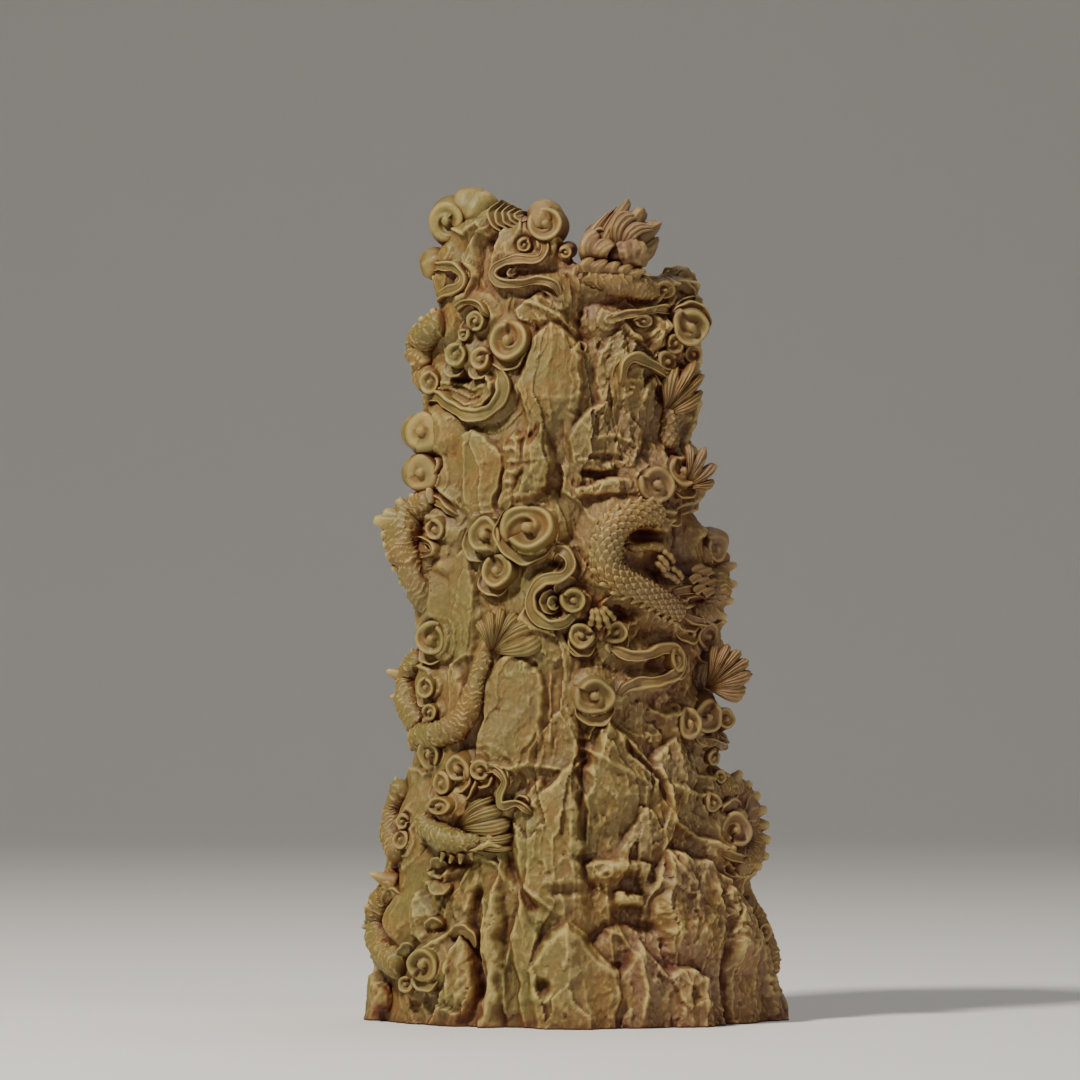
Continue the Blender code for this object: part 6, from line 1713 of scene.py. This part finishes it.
shapes = []
for notch, flutes, locks in SHEETS:
    lines = np.array([even_line([on_rock(*seen(*step)) for step in steps]) for _, *steps in locks])
    shapes.append(mane(lines, [each[0] for each in locks], SEEN_FACE, notch, flutes))
shapes += [leaf(*each) for each in PLATES]
piece("finial_blades", shapes, CLOUD_FINISH)

# %% [markdown]
# ## Claws
#
# Two feet grip the clouds. A toe has three knuckles and a nail. A chain of balls would leave creases between
# them, so it is one round section swept along a short bowed line, and its radius swells at each knuckle.

# %% Claws
# Each toe's root, direction in degrees, length and radius
TOES = placed(seen, (
    ((3.6, 103.6, 3), -98, 4.4, 0.72), ((4.4, 103.8, 3.4), -80, 5.4, 0.78),
    ((5.4, 103.6, 3.4), -62, 5.8, 0.78), ((6, 104.2, 3.2), -44, 5, 0.72),
    ((20.6, 118.4, 5.4), -38, 5.6, 0.75), ((19.8, 117, 5.4), -50, 5.4, 0.75),
    ((19.2, 115.4, 5), -46, 5, 0.75), ((22.6, 114.2, 5), -34, 5.8, 0.8),
    ((20.8, 112.8, 4.8), -24, 6.4, 0.8),
))


KNUCKLES = (0.16, 0.42, 0.70)           # where they lie along a toe
NAIL = 0.74                             # where the nail begins


def toe(root, direction, length, radius):
    """A toe with three knuckles and a nail, bent over towards the rock."""
    origin, axes = facing(root)
    share = np.linspace(0, 1, 7)
    way = np.radians(direction)
    out = 1.7 * np.sin(math.pi * share ** 0.9) - 1.2 * share
    knots = (origin + (length * share * math.cos(way))[:, None] * axes[0]
             + (length * share * math.sin(way))[:, None] * axes[1] + out[:, None] * axes[2])
    line, along = smooth_line(knots, 0.26)
    t = along / along[-1]
    swell = sum(0.34 * np.exp(-((t - at) / 0.07) ** 2) for at in KNUCKLES)
    swell = swell - 0.5 * np.clip((t - NAIL) / (1 - NAIL), 0, 1)
    thick = radius * (0.9 + swell) * np.clip((1.01 - t) / 0.07, 0, 1) ** 0.5
    bearing = np.linspace(0, 2 * math.pi, 16, endpoint=False)
    sections = thick[:, None, None] * np.stack((np.cos(bearing), np.sin(bearing)), 1)
    # pale on the outer side and the knuckles: rubbing and a painted highlight
    wear_and_shade = np.clip(np.cos(bearing), 0, 1) * (0.05 + 1.1 * np.clip(swell, 0, 1)[:, None])
    return swept(line, sections, np.clip(wear_and_shade, 0, 1))


piece("dragon_claws", [toe(*each) for each in TOES], DRAGON_FINISH)

# %% [markdown]
# ## Rounded cloud masses
#
# Some cloud heads are plain swellings: the dome of the crown, the egg at its left, the two pads at the left
# edge. They are squashed balls. Blender's own sphere would do, but laid ring by ring here the ball gets its
# uneven skin at once. Where a swelling carries a scroll, the scroll stands on it as a shape of its own.

# %% Lumps
# Place, reach across, up and away, and how pebbly its skin is
LUMPS = placed(seen, (
    ((-26.8, 203, -5), 5, 7.2, 5.8, 0.1), ((-24, 201.8, -6.6), 4.8, 7.2, 5.6, 0.15),
    ((-21.5, 200, -3.5), 4, 4.4, 4, 0.3), ((-8.2, 201.6, -3), 4.7, 4.9, 8, 0.15),
    ((-38.4, 190.7, 2), 3.9, 4.4, 4.4, 0.15), ((-39.6, 148.2, 3.5), 5.6, 4.8, 5.5, 0.15),
    ((-40, 138, 3.5), 5.2, 4.8, 5.5, 0.15), ((25.2, 185.6, -2), 4.6, 4.6, 5, 1),
    ((12.6, 192.4, 2.6), 5.2, 4.8, 4, 1), ((12.8, 197.6, 0), 3.4, 3.6, 3.6, 0.5),
    ((-49, 6, 1.2), 3.4, 3.6, 3, 0.9), ((36.4, 120.6, 4.6), 3.8, 3.6, 4, 0.2),
    ((35.2, 116.2, 4.6), 3.4, 3, 4, 0.2), ((-36.6, 116, 2.6), 4.6, 7.6, 4, 0.5),
    ((-35.4, 109, 0.8), 3.8, 6, 4, 0.5),
))


def lump(place, across, up, deep, pebbly, rows=26, columns=38):
    """A squashed ball with an uneven skin."""
    tip = np.linspace(0.03, math.pi - 0.03, rows)[:, None]
    bearing = np.linspace(0, 2 * math.pi, columns, endpoint=False)
    local = np.stack((across * np.sin(tip) * np.cos(bearing), up * np.sin(tip) * np.sin(bearing),
                      deep * np.cos(tip) + 0 * bearing), 2)
    origin, axes = facing(place)
    rings = origin + local @ axes
    flat = rings.reshape(-1, 3)
    wobble = layered(flat, (0.35, 3.4, 31), (0.15 + 0.5 * pebbly, 1.5, 32), (0.35 * pebbly, 0.8, 33))
    flat = flat + wobble[:, None] * (flat - origin) / np.linalg.norm(flat - origin, axis=1, keepdims=True)
    # pale on the bumps of the skin as rubbing and a painted highlight, painted shade in its dips
    wear_and_shade = np.clip(0.1 + 1.4 * wobble.reshape(rows, columns), -1, 1)
    points, triangles, wear_and_shade = closed_tube(flat.reshape(rings.shape), wear_and_shade)
    return points, triangles[:, ::-1], wear_and_shade


piece("cloud_masses", [lump(*each) for each in LUMPS], CLOUD_FINISH)
